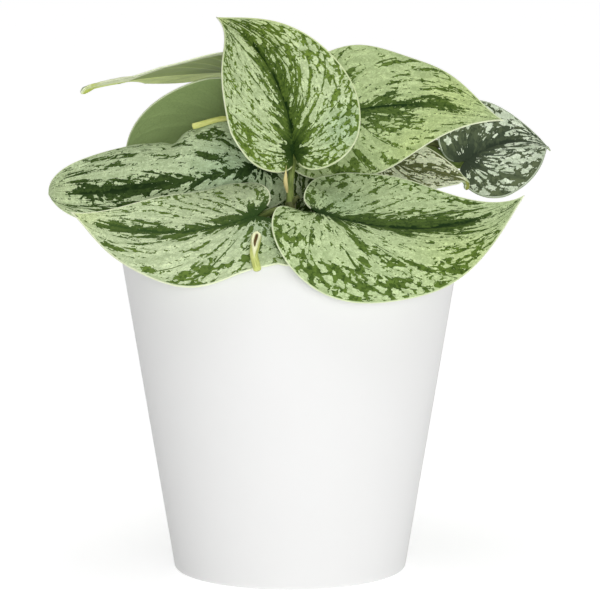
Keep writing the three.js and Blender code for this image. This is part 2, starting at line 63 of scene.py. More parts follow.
# Each leaf hangs from its base point. Angles are in degrees, pairs are [left, right] seen from the
# base to the tip with the upper face up. length is the midrib's, width and lobes are shares of it.
# The words are those of the part's source. tuck lays one basal lobe under the other: the side (1
# left, -1 right), how far across and how far down in mm. tail narrows the end: where that starts and
# where it is done as shares of the length, then its half width and half thickness in mm. crook bends
# the end: where it starts, and by how many degrees down and to the left. Each hump raises the margin:
# its side, its place as a share of the length, its spread, and its height in mm.
LEAVES = {
    "leaf_centre": dict(
        base=(1.3, -18, 166.5), length=81, width=0.76, lobes=(0.13, 0.14), taper=0,
        heading=94, pitch=56, roll=-6, bend=18, hook=4, sweep=43, twist=3,
        fold=(26, 37), curl=(-28, 37), skew=1.04, waves=((-0.6, 1.4, 0), (3.6, 0.9, 0.4)),
        tuck=(1, 2.2, 1.6)),
    "leaf_front_right": dict(
        base=(11, -47, 146), length=84, width=0.96, lobes=(0.09, 0.19), taper=0,
        heading=-2, pitch=-18, roll=5, bend=-31, hook=-26, sweep=37, twist=27,
        fold=(5, 9), curl=(-19, 83), skew=0.96, waves=((-0.8, 1.6, -0.2), (-1.5, 1.7, 0.1)),
        tuck=(-1, 0, 1.5)),
    "leaf_front_left": dict(
        base=(-12.5, -46, 145), length=75, width=0.86, lobes=(0.22, 0.11), taper=0,
        heading=186, pitch=-19, roll=-21, bend=-17, hook=-1, sweep=-47, twist=-19,
        fold=(7, 4), curl=(30, 16), skew=1.01, waves=((1.3, 2.1, 0), (1.7, 1.3, 0.25)),
        tuck=(1, -4, 2), humps=((1, -0.04, 0.1, -3.2),)),
    "leaf_back_right": dict(
        base=(16, 6, 179.5), length=70, width=0.86, lobes=(0.2, 0.31), taper=0,
        heading=4, pitch=18, roll=59, bend=8, hook=-15, sweep=-44, twist=-19,
        fold=(7, 3), curl=(23, 9), skew=0.99, waves=((2.4, 1.9, -0.13), (0.5, 1.4, 0))),
    "leaf_upper_left": dict(
        base=(-11, -7, 161), length=98, width=0.51, lobes=(0.1, 0.1), taper=-0.7,
        heading=197, pitch=-9, roll=-44, bend=50, hook=37, sweep=-34, twist=-36,
        fold=(-23, 8), curl=(23, 70), skew=0.75, waves=((0, 1, 0), (11, 1, 0.15)),
        humps=((-1, 0.375, 0.05, -6), (-1, 0.57, 0.06, 2.0), (-1, 0.78, 0.11, -9))),
    "leaf_far_right": dict(
        base=(70.5, 30, 160), length=56, width=0.82, lobes=(0.16, 0.17), taper=0,
        heading=40, pitch=24, roll=61, bend=35, hook=12, sweep=-27, twist=-31,
        fold=(26, 23), curl=(16, 5), skew=0.94, waves=((0, 1, 0), (0, 1, 0))),
    "leaf_hooked": dict(
        base=(37.5, 14, 161.5), length=37.5, width=0.77, lobes=(0.19, 0.19), taper=0,
        heading=-9, pitch=-11, roll=34, bend=16, hook=20, sweep=13, twist=7,
        fold=(8, 6), curl=(14, 15), skew=1, waves=((0, 1, 0), (0, 1, 0)),
        tail=(0.82, 0.91, 0.75, 0.5), crook=(0.84, 60, -80)),
    "leaf_top_left": dict(
        base=(-17.8, 40, 196), length=71, width=0.66, lobes=(0.2, 0.2), taper=0.6,
        heading=201, pitch=0, roll=8, bend=9, hook=12, sweep=-4, twist=18,
        fold=(6, 10), curl=(6, 19), skew=1, waves=((2.9, 1, 0.05), (0, 1, 0)),
        tail=(0.56, 0.76, 1.4, 0.55), crook=(0.93, 30, 0)),
    "leaf_back_left": dict(
        base=(-21, 32, 173.5), length=67, width=0.87, lobes=(0.2, 0.2), taper=-0.22,
        heading=158, pitch=-17, roll=67.5, bend=-17.5, hook=-5, sweep=-27, twist=-20,
        fold=(3, 21), curl=(32, 20), skew=0.955, waves=((0, 1.5, 0), (0, 1.5, 0))),
    "leaf_rear": dict(
        base=(12, 58, 151), length=74, width=0.82, lobes=(0.18, 0.18), taper=0,
        heading=82, pitch=12, roll=-6, bend=50, hook=8, sweep=-6, twist=0,
        fold=(12, 12), curl=(22, 22), skew=1, waves=((1, 1.5, 0.2), (1, 1.5, 0.2))),
    "leaf_rear_right": dict(
        base=(32, 38, 141), length=68, width=0.84, lobes=(0.18, 0.18), taper=0,
        heading=40, pitch=0, roll=-4, bend=34, hook=8, sweep=12, twist=0,
        fold=(10, 12), curl=(18, 24), skew=1, waves=((1, 1.5, 0.6), (1, 1.4, 0.3))),
    "leaf_rear_left": dict(
        base=(-32, 30, 142), length=72, width=0.82, lobes=(0.18, 0.18), taper=0,
        heading=134, pitch=4, roll=6, bend=36, hook=8, sweep=-12, twist=0,
        fold=(12, 10), curl=(24, 18), skew=1, waves=((1, 1.5, 0.4), (1, 1.5, 0.4))),
    "leaf_rear_low": dict(
        base=(-8, 44, 134), length=58, width=0.84, lobes=(0.18, 0.18), taper=0,
        heading=102, pitch=8, roll=-2, bend=64, hook=10, sweep=8, twist=0,
        fold=(10, 10), curl=(20, 20), skew=1, waves=((1, 1.5, 0), (1, 1.4, 0.3))),
    "leaf_inner": dict(
        base=(1, 14, 138), length=33, width=0.8, lobes=(0.15, 0.15), taper=0,
        heading=90, pitch=80, roll=0, bend=12, hook=4, sweep=6, twist=0,
        fold=(10, 12), curl=(14, 12), skew=1, waves=((0.5, 1.5, 0), (0.5, 1.4, 0.3))),
    "leaf_low_right": dict(
        base=(36, 2, 138), length=44, width=0.8, lobes=(0.18, 0.18), taper=0,
        heading=4, pitch=8, roll=-4, bend=26, hook=8, sweep=8, twist=0,
        fold=(10, 12), curl=(14, 16), skew=1, waves=((1, 1.5, 0.3), (1, 1.4, 0))),
    "leaf_low_left": dict(
        base=(-38, 10, 134), length=42, width=0.8, lobes=(0.18, 0.18), taper=0,
        heading=165, pitch=14, roll=4, bend=30, hook=8, sweep=-8, twist=0,
        fold=(12, 10), curl=(16, 14), skew=1, waves=((1, 1.5, 0.7), (1, 1.4, 0.4))),
}

# Finish of each blade. band gives the dark band's half width in mm at even steps from the base to
# the tip, on the left and on the right. spikes is how far its points run out, flecks and rim are
# the shares of loose flecks and of flecks near the margin, threads the amount of green threads on
# the side veins, size the marking's fineness and seed its variant. silver, green, deep and margin are
# colours; margin colours the band along the edge, on most blades a painted sheen where it curls.
# tip colours the end from so many mm on. Each of tones tints a round patch: above 0 lighter and
# yellower, partly the leaf's own tint and partly painted light, and below 0 darker and bluer, as
# painted shade: its share of the length, its offset and spread in mm, and its amount. bare is how
# many mm from the base the margin gets no painted sheen, on the left and on the right.
# Each mark is a spot or streak on one side vein: the side (1 left, -1 right), where that vein ends
# on the outline (0 to 3), how far along the vein the mark lies (0 to 1), its half length and half
# width in mm, and how much of it is green, where 1 is all.
COOL_SAGE = (0.58, 0.68, 0.41)
FRESH_GREEN = (0.11, 0.185, 0.036)
LEAF_GREEN = (0.088, 0.15, 0.036)
DEEP_GREEN = (0.012, 0.034, 0.006)
FINISHES = {
    "leaf_centre": dict(
        band=((3.6, 3.2, 2.2, 2.6, 2.2, 1.0, 0.4, -0.8, -3), (4.6, 4.2, 3.2, 5.0, 2.4, 4.4, 1.8, -0.5, -3)),
        spikes=5.0, flecks=-0.05, rim=0.36, silver=(0.57, 0.68, 0.38), green=FRESH_GREEN, deep=DEEP_GREEN,
        seed=3, margin=(0.76, 0.84, 0.48), tones=((0.05, -22, 12, -0.6), (0.7, -8, 14, 0.5), (1.0, 0, 7, 1)),
        marks=(
            (-1, 2.47, 0.47, 16, 0.8, 1), (-1, 2.15, 0.2, 5, 1.8, 1), (-1, 2.05, 0.42, 8, 0.4, 1),
            (-1, 2.05, 0.62, 1.6, 1.0, 1), (-1, 2.17, 0.68, 3.6, 1.5, 1), (-1, 2.25, 0.74, 2.2, 2.4, 0.8),
            (-1, 2.24, 0.5, 2, 0.5, 1), (-1, 2.09, 0.7, 1.5, 1.2, 1), (-1, 2.02, 0.85, 1.5, 1.2, 1),
            (-1, 1.9, 0.76, 2, 0.8, 1), (-1, 1.97, 0.6, 1.5, 0.8, 1), (-1, 2.6, 0.5, 5, 0.8, 1),
            (-1, 2.64, 0.3, 2.5, 1.0, 1), (-1, 2.76, 0.6, 14, 5, 0.62), (-1, 2.45, 0.82, 7, 1.6, 0.6),
            (-1, 1.3, 0.8, 4, 7, 0.5), (-1, 2.35, 0.2, 7, 0.9, 1), (-1, 1.75, 0.25, 4, 0.6, 1),
            (1, 1.9, 0.66, 6, 4, 0.65), (1, 1.45, 0.85, 5, 7, 0.5), (1, 2.74, 0.3, 3, 1.3, 1),
            (1, 2.22, 0.4, 9, 0.6, 1), (1, 2.05, 0.3, 4, 0.9, 1), (1, 2.45, 0.5, 9, 0.4, 1),
            (1, 2.65, 0.5, 10, 0.4, 1), (1, 2.32, 0.85, 8, 2.0, 0.45), (1, 1.7, 0.18, 4, 0.6, 1),
            (1, 1.3, 0.25, 3.5, 0.5, 1), (1, 1.0, 0.3, 3.5, 0.5, 1), (1, 2.1, 0.45, 6, 0.5, 1))),
    "leaf_front_right": dict(
        band=((4.5, 4.6, 5.8, 7.0, 6.8, 5.4, 2.8, -5, -10), (4.0, 3.6, 4.4, 5.4, 5.4, 4.4, 1.4, -5, -10)),
        spikes=4.8, flecks=-0.12, rim=0.36, threads=0.7, silver=(0.49, 0.60, 0.32),
        green=(0.072, 0.128, 0.028), deep=DEEP_GREEN, seed=11, bare=(4, 12),
        tones=((0.6, -16, 22, 0.5), (0.1, 14, 16, -0.5)),
        marks=(
            (-1, 2.33, 0.2, 8, 1.2, 1), (-1, 2.12, 0.27, 4, 0.6, 1), (-1, 2.35, 0.62, 6, 2.4, 0.6),
            (-1, 2.42, 0.75, 6, 1.0, 1), (-1, 2.22, 0.62, 3, 1.6, 1), (-1, 2.03, 0.8, 6, 8, 0.56),
            (-1, 1.85, 0.85, 5, 7, 0.5), (-1, 2.2, 0.85, 4, 7, 0.52), (-1, 2.5, 0.88, 5, 4, 0.5),
            (-1, 2.65, 0.85, 6, 3, 0.5), (-1, 1.4, 0.72, 5, 7, 0.46), (-1, 1.85, 0.5, 7, 0.5, 1),
            (-1, 1.15, 0.5, 5, 0.7, 1), (-1, 0.9, 0.6, 5, 0.8, 1), (-1, 2.0, 0.22, 4, 1.2, 1),
            (-1, 1.6, 0.2, 4, 0.6, 1), (1, 2.1, 0.2, 5, 1.5, 1), (1, 1.5, 0.35, 4, 0.6, 1),
            (1, 2.0, 0.73, 3, 2.0, 1), (1, 2.15, 0.5, 6, 0.7, 1), (1, 2.25, 0.75, 7, 0.9, 1),
            (1, 2.38, 0.55, 9, 0.6, 1), (1, 2.48, 0.5, 9, 0.5, 1), (1, 2.65, 0.45, 9, 1.2, 0.8),
            (1, 2.8, 0.5, 9, 1.2, 0.7), (1, 1.2, 0.7, 4, 4, 0.5), (1, 1.8, 0.5, 5, 0.6, 1),
            (-1, 0.45, 0.3, 5, 1.2, 1), (-1, 0.75, 0.22, 5, 1.2, 1), (-1, 1.15, 0.2, 6, 1.0, 1),
            (-1, 1.45, 0.18, 5, 0.8, 1), (1, 0.7, 0.5, 6, 0.5, 1), (1, 0.95, 0.45, 7, 0.6, 1),
            (1, 1.15, 0.5, 7, 0.5, 1), (1, 1.4, 0.4, 8, 0.5, 1), (-1, 2.3, 0.42, 7, 1.6, 1))),
    "leaf_front_left": dict(
        band=((5.5, 4.0, 2.8, 3.8, 3.0, 2.6, 1.4, -1.8, -3), (5.0, 2.6, 1.8, 2.4, 3.0, 3.2, 2.4, -1.5, -3)),
        spikes=3.4, flecks=-0.2, rim=0.12, threads=0.35, silver=COOL_SAGE, green=LEAF_GREEN,
        deep=(0.03, 0.07, 0.014), margin=(0.92, 0.96, 0.70), seed=23,
        tones=((1.0, -2, 16, 0.6), (-0.05, 12, 16, -0.5)),
        marks=(
            (1, 1.2, 0.18, 4, 1, 1), (1, 1.6, 0.2, 6, 0.7, 1), (1, 1.92, 0.12, 4, 1.5, 1),
            (1, 2.1, 0.3, 5, 1.0, 1), (1, 2.3, 0.45, 10, 0.4, 1), (1, 2.48, 0.45, 4, 1.2, 0.9),
            (1, 2.25, 0.74, 5, 1.8, 0.9), (1, 2.2, 0.9, 6, 4, 0.8), (1, 2.1, 0.8, 3, 1.5, 0.9),
            (1, 2.4, 0.92, 2, 2, 1), (1, 2.65, 0.75, 6, 1.0, 0.8), (1, 2.75, 0.55, 8, 0.6, 1),
            (1, 2.0, 0.6, 8, 1.6, 0.6), (1, 1.7, 0.5, 8, 1.0, 1), (1, 1.85, 0.35, 6, 0.6, 1),
            (1, 1.4, 0.5, 6, 1.2, 0.8), (1, 2.7, 0.28, 4, 1.4, 1), (-1, 1.0, 0.8, 3, 3, 0.6),
            (-1, 1.5, 0.6, 4, 0.7, 1), (-1, 2.05, 0.35, 5, 0.7, 1), (-1, 2.15, 0.6, 5, 0.8, 1),
            (-1, 2.26, 0.6, 6, 0.6, 1), (-1, 2.1, 0.75, 3, 1.2, 0.9), (-1, 2.4, 0.6, 7, 0.5, 1),
            (-1, 2.5, 0.6, 7, 0.4, 1), (-1, 2.65, 0.5, 7, 0.4, 1), (1, 0.6, 0.3, 6, 1.0, 1),
            (1, 0.9, 0.25, 6, 1.0, 1), (1, 1.3, 0.2, 6, 1.2, 1), (-1, 0.7, 0.35, 4, 1.2, 1))),
    "leaf_back_right": dict(
        band=((2.0, 1.2, 1.0, 2.0, 2.8, 1.6, -1.4, -2.5, -3),
              (2.0, 2.4, 3.4, 3.8, 3.0, 0.8, -1.4, -2.5, -3)),
        spikes=3.0, flecks=-0.22, rim=0.0, threads=0.6, silver=(0.48, 0.59, 0.29), green=LEAF_GREEN,
        deep=DEEP_GREEN, seed=37, tones=((0.7, 6, 16, 0.5), (0.5, -22, 16, 0.5)),
        marks=(
            (1, 2.25, 0.35, 6, 0.9, 1), (1, 2.2, 0.5, 3, 1.5, 0.8), (1, 2.33, 0.85, 7, 1.0, 0.9),
            (1, 2.45, 0.88, 5, 0.8, 1), (1, 2.57, 0.45, 5, 0.8, 1), (1, 2.5, 0.62, 3, 0.6, 1),
            (1, 2.7, 0.2, 4, 1.2, 1), (1, 2.75, 0.6, 6, 0.6, 0.9), (1, 2.85, 0.3, 7, 0.8, 1),
            (1, 2.65, 0.85, 8, 3, 0.35), (-1, 2.65, 0.3, 10, 4, 0.7), (-1, 2.5, 0.35, 9, 3, 0.65),
            (-1, 2.36, 0.7, 8, 0.6, 1), (-1, 2.05, 0.75, 7, 1.2, 0.9), (-1, 1.9, 0.74, 3, 2, 1),
            (-1, 1.75, 0.9, 5, 5, 0.7), (-1, 2.2, 0.85, 5, 1.4, 0.7), (-1, 2.6, 0.7, 7, 0.5, 1))),
    "leaf_upper_left": dict(
        band=((3.0, 1.0, 1.0, 2.4, 3.2, 3.0, 2.2, -2, -5), (1.6, 0.8, 1.0, 2.2, 3.6, 4.2, 3.4, -2, -5)),
        spikes=2.4, flecks=-0.17, rim=0.02, threads=0.2, silver=(0.51, 0.61, 0.365),
        green=(0.05, 0.092, 0.024), deep=(0.014, 0.032, 0.008), seed=41,
        tones=((0.12, 0, 20, -0.6), (0.9, 0, 18, 0.3)),
        marks=(
            (-1, 2.1, 0.6, 4, 3, 0.8), (-1, 2.2, 0.55, 4, 1.5, 1), (-1, 2.15, 0.35, 6, 1.2, 1),
            (-1, 2.35, 0.55, 5, 1.0, 1), (-1, 2.57, 0.45, 7, 1.0, 1), (-1, 2.6, 0.7, 5, 1.4, 0.9),
            (-1, 2.65, 0.82, 5, 1.2, 0.9), (-1, 2.75, 0.6, 8, 0.8, 1), (-1, 2.82, 0.75, 5, 1.2, 0.9),
            (-1, 2.9, 0.5, 8, 0.8, 0.9), (-1, 2.45, 0.22, 7, 1.5, 1), (-1, 2.0, 0.25, 8, 2, 0.9),
            (1, 2.9, 0.6, 8, 1.0, 0.9), (1, 2.85, 0.45, 8, 1.2, 0.9), (1, 2.45, 0.3, 8, 1.5, 0.9),
            (1, 2.2, 0.3, 8, 1.2, 1))),
    "leaf_far_right": dict(
        band=((5, 6, 5.5, 4.5, 3.5, 2.0, 0.5, -0.5, -1), (3.5, 3.0, 2.5, 2.5, 2.5, 2.0, 2.0, 1.0, 0)),
        spikes=6.0, flecks=0.10, rim=0.32, silver=(0.66, 0.74, 0.57), green=(0.08, 0.11, 0.066),
        deep=(0.035, 0.05, 0.03), margin=(0.34, 0.40, 0.28), seed=53, size=0.68,
        marks=((1, 1.6, 0.7, 9, 14, 0.72), (-1, 1.5, 0.7, 8, 10, 0.66), (-1, 2.1, 0.9, 6, 8, 0.62))),
    # The hooked leaf's silver is raised far above the other blades' as painted light, against the shade the
    # back right leaf casts on it.
    "leaf_hooked": dict(
        band=((1.0, 1.0, 1.0, 1.0, 0.6, 0.2), (1.0, 1.0, 1.0, 1.0, 0.6, 0.2)),
        spikes=3.0, flecks=0.16, rim=0.2, silver=(0.80, 0.84, 0.60), green=(0.15, 0.18, 0.07),
        deep=(0.07, 0.09, 0.035), tip=(33, (0.30, 0.33, 0.08)), seed=61, marks=()),
}
PLAIN_FINISH = dict(
    band=((2.5, 2.2, 2.4, 3.0, 2.6, 1.8, 0.4), (2.5, 2.4, 3.0, 2.6, 2.2, 1.5, 0.4)),
    spikes=3.5, flecks=0.14, rim=0.4, silver=COOL_SAGE, green=LEAF_GREEN, deep=DEEP_GREEN, seed=0,
    marks=(
        (-1, 2.45, 0.45, 12, 0.7, 1), (-1, 2.15, 0.25, 6, 1.2, 1), (-1, 2.2, 0.7, 4, 1.6, 1),
        (-1, 1.6, 0.8, 5, 7, 0.55), (-1, 2.6, 0.5, 8, 0.6, 1), (1, 2.4, 0.5, 10, 0.6, 1),
        (1, 2.1, 0.3, 5, 1.2, 1), (1, 1.9, 0.7, 6, 5, 0.6), (1, 2.65, 0.5, 9, 0.8, 1),
        (1, 1.4, 0.8, 4, 6, 0.5)))
# The inner leaf's silver is raised above the other blades' as painted light, to lighten it in the shade
# inside the plant.
FINISHES["leaf_inner"] = dict(PLAIN_FINISH, band=((-4, -4), (-4, -4)), flecks=0.3,
                              silver=(0.68, 0.76, 0.52), seed=67)

# Each vine runs from its hole in the soil along path. Each of its stalks starts on the vine and
# passes its via points to the joint under its leaf. Each sheath has a path, its greatest radius and
# its finish: 0 like the vine, 1 like a stalk, 2 dry.
VINES = {
    "vine_front": dict(
        path=((-1, -22, 80), (-1, -23, 112), (-0.5, -26, 128), (0.5, -27, 139), (0.3, -26, 148)),
        stalks={
            "leaf_front_left": ((0.2, -26.5, 132), (-6, -33, 138)),
            "leaf_front_right": ((0, -26.5, 133), (4, -32, 138)),
            "leaf_centre": ((0.4, -26.5, 145), (0.3, -22, 156))},
        sheaths=((((-0.9, -27.6, 152), (-1.6, -28, 156.5), (-1.3, -27.3, 162.5)), 0.85, 2),
                 (((1.2, -27.6, 147), (2.8, -27.8, 150.2), (4.8, -26.5, 149)), 0.9, 0),
                 (((-0.5, -27.5, 146.5), (-6, -32, 145.3), (-12, -37, 143.6), (-19, -40, 139.5)), 1.4, 1))),
    "vine_right": dict(
        path=((24, 6, 80), (24, 8, 112), (22, 10, 132), (21, 12, 148), (20.5, 14, 160)),
        stalks={
            "leaf_back_right": ((20.5, 13.5, 157), (18, 14, 168)),
            "leaf_hooked": ((21.5, 11, 140), (29, 13, 149)),
            "leaf_far_right": ((20.8, 12.5, 151), (30, 28, 160), (54, 36, 166)),
            "leaf_low_right": ((24, 8.5, 116), (29, 6, 127))},
        # This broad sheath takes the dark vine finish as painted shade, filling the shaded gap between the
        # far right stalk and the back right leaf.
        sheaths=((((47, 34, 163.5), (54, 36.5, 167.3), (60, 36.3, 166.3), (66, 34.5, 162.3)), 2.3, 0),)),
    "vine_left": dict(
        path=((-22, 2, 80), (-22, 4, 112), (-22, 10, 132), (-21.5, 14, 146), (-21.5, 17, 158)),
        stalks={
            "leaf_upper_left": ((-22, 8, 126), (-17, 1, 142)),
            "leaf_back_left": ((-21.5, 16, 154), (-21.5, 21, 161)),
            "leaf_rear_left": ((-22, 5.5, 117), (-26, 18, 130)),
            "leaf_low_left": ((-22, 4.5, 114), (-28, 4, 126))}),
    "vine_rear": dict(
        path=((2, 30, 80), (2, 30, 112), (2.5, 31, 128), (3, 32, 144)),
        stalks={
            "leaf_top_left": ((3, 32, 141), (0, 36, 160), (-9, 41, 181)),
            "leaf_rear": ((2.7, 31.4, 134), (5, 38, 141)),
            "leaf_rear_right": ((2.5, 31, 126), (14, 32, 133)),
            "leaf_rear_low": ((2, 30.5, 118), (0, 36, 127)),
            "leaf_inner": ((2, 30.2, 121), (1.6, 25, 131))}),
}

SPEAR = ((-21.5, 15, 159), (-20, 15, 168), (-20, 13, 176), (-25, 10, 178.3), (-38.3, 5, 175.6))
ROLLED = ((-12.1, -64.1, 139.8), (-12.8, -69.9, 135.3), (-13.1, -72.8, 132.9), (-11.8, -77.3, 127.8))


# ---------- node helpers ----------

FLOAT, VECTOR = "NodeSocketFloat", "NodeSocketVector"


def put(tree, kind, inputs=None, **settings):
    """Adds a node, sets its properties, and links or fills its inputs by name or number."""
    node = tree.nodes.new(kind)
    for name, value in settings.items():
        setattr(node, name, value)
    for name, value in (inputs or {}).items():
        socket = node.inputs[name]
        if isinstance(value, bpy.types.NodeSocket):
            tree.links.new(value, socket)
        else:
            socket.default_value = value
    return node


def calc(tree, operation, *values):
    """A Math node's result."""
    return put(tree, "ShaderNodeMath", dict(enumerate(values)), operation=operation).outputs[0]


def ramp(tree, value, low, high, to_low=0.0, to_high=1.0):
    """A smooth step of value from low to high."""
    inputs = {"Value": value, "From Min": low, "From Max": high, "To Min": to_low, "To Max": to_high}
    return put(tree, "ShaderNodeMapRange", inputs, interpolation_type="SMOOTHSTEP").outputs[0]


def crisp(tree, value, soft):
    """1 where value is above 0, and 0 where it is below, with a soft edge."""
    return ramp(tree, value, -soft, soft)


def colour(value):
    """A socket as it is, or red, green and blue with full alpha."""
    return value if isinstance(value, bpy.types.NodeSocket) else (*value, 1.0)


def blend(tree, share, first, second, blend_type="MIX"):
    """Mixes two colours by share."""
    inputs = {0: share, 6: colour(first), 7: colour(second)}
    return put(tree, "ShaderNodeMix", inputs, data_type="RGBA", blend_type=blend_type).outputs[2]


def dyed(tree, share, base, tint):
    """base multiplied by a tint, by share."""
    return blend(tree, share, base, tint, "MULTIPLY")


def stretch(tree, vector, scale, shift=(0, 0, 0)):
    """vector times scale plus shift; each may be a socket."""
    inputs = {0: vector, 1: scale, 2: shift}
    return put(tree, "ShaderNodeVectorMath", inputs, operation="MULTIPLY_ADD").outputs[0]


def scaled(tree, vector, scale):
    return put(tree, "ShaderNodeVectorMath", {0: vector, "Scale": scale}, operation="SCALE").outputs[0]


def added(tree, first, second):
    return put(tree, "ShaderNodeVectorMath", {0: first, 1: second}, operation="ADD").outputs[0]


def paired(tree, first, second):
    return put(tree, "ShaderNodeCombineXYZ", {0: first, 1: second}).outputs[0]


def parts_of(tree, vector):
    return put(tree, "ShaderNodeSeparateXYZ", {0: vector}).outputs[:2]


def uv(tree, name):
    return put(tree, "ShaderNodeUVMap", uv_map=name).outputs[0]


def noise(tree, vector, scale=1.0, detail=2.0, output="Fac"):
    inputs = {"Vector": vector, "Scale": scale, "Detail": detail}
    return put(tree, "ShaderNodeTexNoise", inputs).outputs[output]


def cells(tree, vector, scale=1.0, feature="F1"):
    return put(tree, "ShaderNodeTexVoronoi", {"Vector": vector, "Scale": scale}, feature=feature).outputs


def random_values(tree, cell):
    """Three random values that stay the same within each cell."""
    return put(tree, "ShaderNodeSeparateColor", {0: cell["Color"]}).outputs


def wall_distance(tree, vector):
    """Distance from the nearest wall between cells."""
    return cells(tree, vector, feature="DISTANCE_TO_EDGE")["Distance"]


def group(name, inputs, outputs):
    """A shader node group with named sockets; returns its tree, its input node and its output node."""
    tree = bpy.data.node_groups.new(name, "ShaderNodeTree")
    for label, kind in inputs:
        tree.interface.new_socket(label, in_out="INPUT", socket_type=kind)
    for label, kind in outputs:
        tree.interface.new_socket(label, in_out="OUTPUT", socket_type=kind)
    return tree, tree.nodes.new("NodeGroupInput"), tree.nodes.new("NodeGroupOutput")


def finish(name, roughness, sheen=0.5):
    """A new material; returns it, its tree and its Principled shader."""
    material = bpy.data.materials.new(name)
    material.use_nodes = True
    shader = material.node_tree.nodes["Principled BSDF"]
    shader.inputs["Roughness"].default_value = roughness
    shader.inputs["Specular IOR Level"].default_value = sheen
    return material, material.node_tree, shader


def dress(tree, shader, base, height, depth, strength):
    """Gives the shader its colour and a fine relief, depth in metres."""
    tree.links.new(base, shader.inputs["Base Color"])
    bump = put(tree, "ShaderNodeBump", {"Height": height, "Distance": depth, "Strength": strength})
    tree.links.new(bump.outputs[0], shader.inputs["Normal"])


# ---------- leaf finishes ----------

# Each blade carries these pairs as UV maps, in mm but for turns and shares. Way: across and along
# the side veins. Near: across them close to the midrib, and the tone, which paints shade below 0
# and lighter, yellower patches above. Flat: the place on the flat blade. Zone: past the dark band,
# and from the margin. Rib: side veins passed, and their spacing.
# Share: the amount of flecks, and past the nearest mark.
LEAF_MAPS = ("Way", "Near", "Flat", "Zone", "Rib", "Share")
LEAF_VALUES = ("Seed", "Size", "Spikes", "Threads")
# Among these results: the painted sheen band along the margin, the tone's painted shade, and its lighter,
# yellower patches.
MARKING_RESULTS = ("Green", "Deep", "Fresh", "Net", "Tint", "EdgeSheen", "PaintedShade", "WarmTintAndLight", "Lift")
# Pale colour painted along the leaf margins as the sheen where the edges curl over.
MARGIN_SHEEN = (0.76, 0.83, 0.56)

# Cells and clouds of the marking: how many to a mm, over the flat blade (drift, fine, broad and
# net) or across and along the side veins (the others).
DRIFT_STEPS = (0.75, 0.75, 0)
COARSE_STEPS = (0.8, 0.42, 0)
FINE_STEPS = (1.2, 1.2, 0)
BROAD_STEPS = (0.5, 0.5, 0)
STREAK_STEPS = (0.42, 0.14, 0)
BLOTCH_STEPS = (0.3, 0.16, 0)
SPIKE_STEPS = (0.44, 0.05, 0)
FLECK_STEPS = (0.42, 0.27, 0)
THREAD_STEPS = (0.16, 0.1, 0)
NET_STEPS = (1.05, 1.05, 0)


def vein_distance(tree, rib_map):
    """Distance from the nearest side vein."""
    turn, spacing = parts_of(tree, rib_map)
    sway = calc(tree, "SUBTRACT", calc(tree, "FRACT", calc(tree, "ADD", turn, 0.5)), 0.5)
    return calc(tree, "MULTIPLY", calc(tree, "ABSOLUTE", sway), spacing)


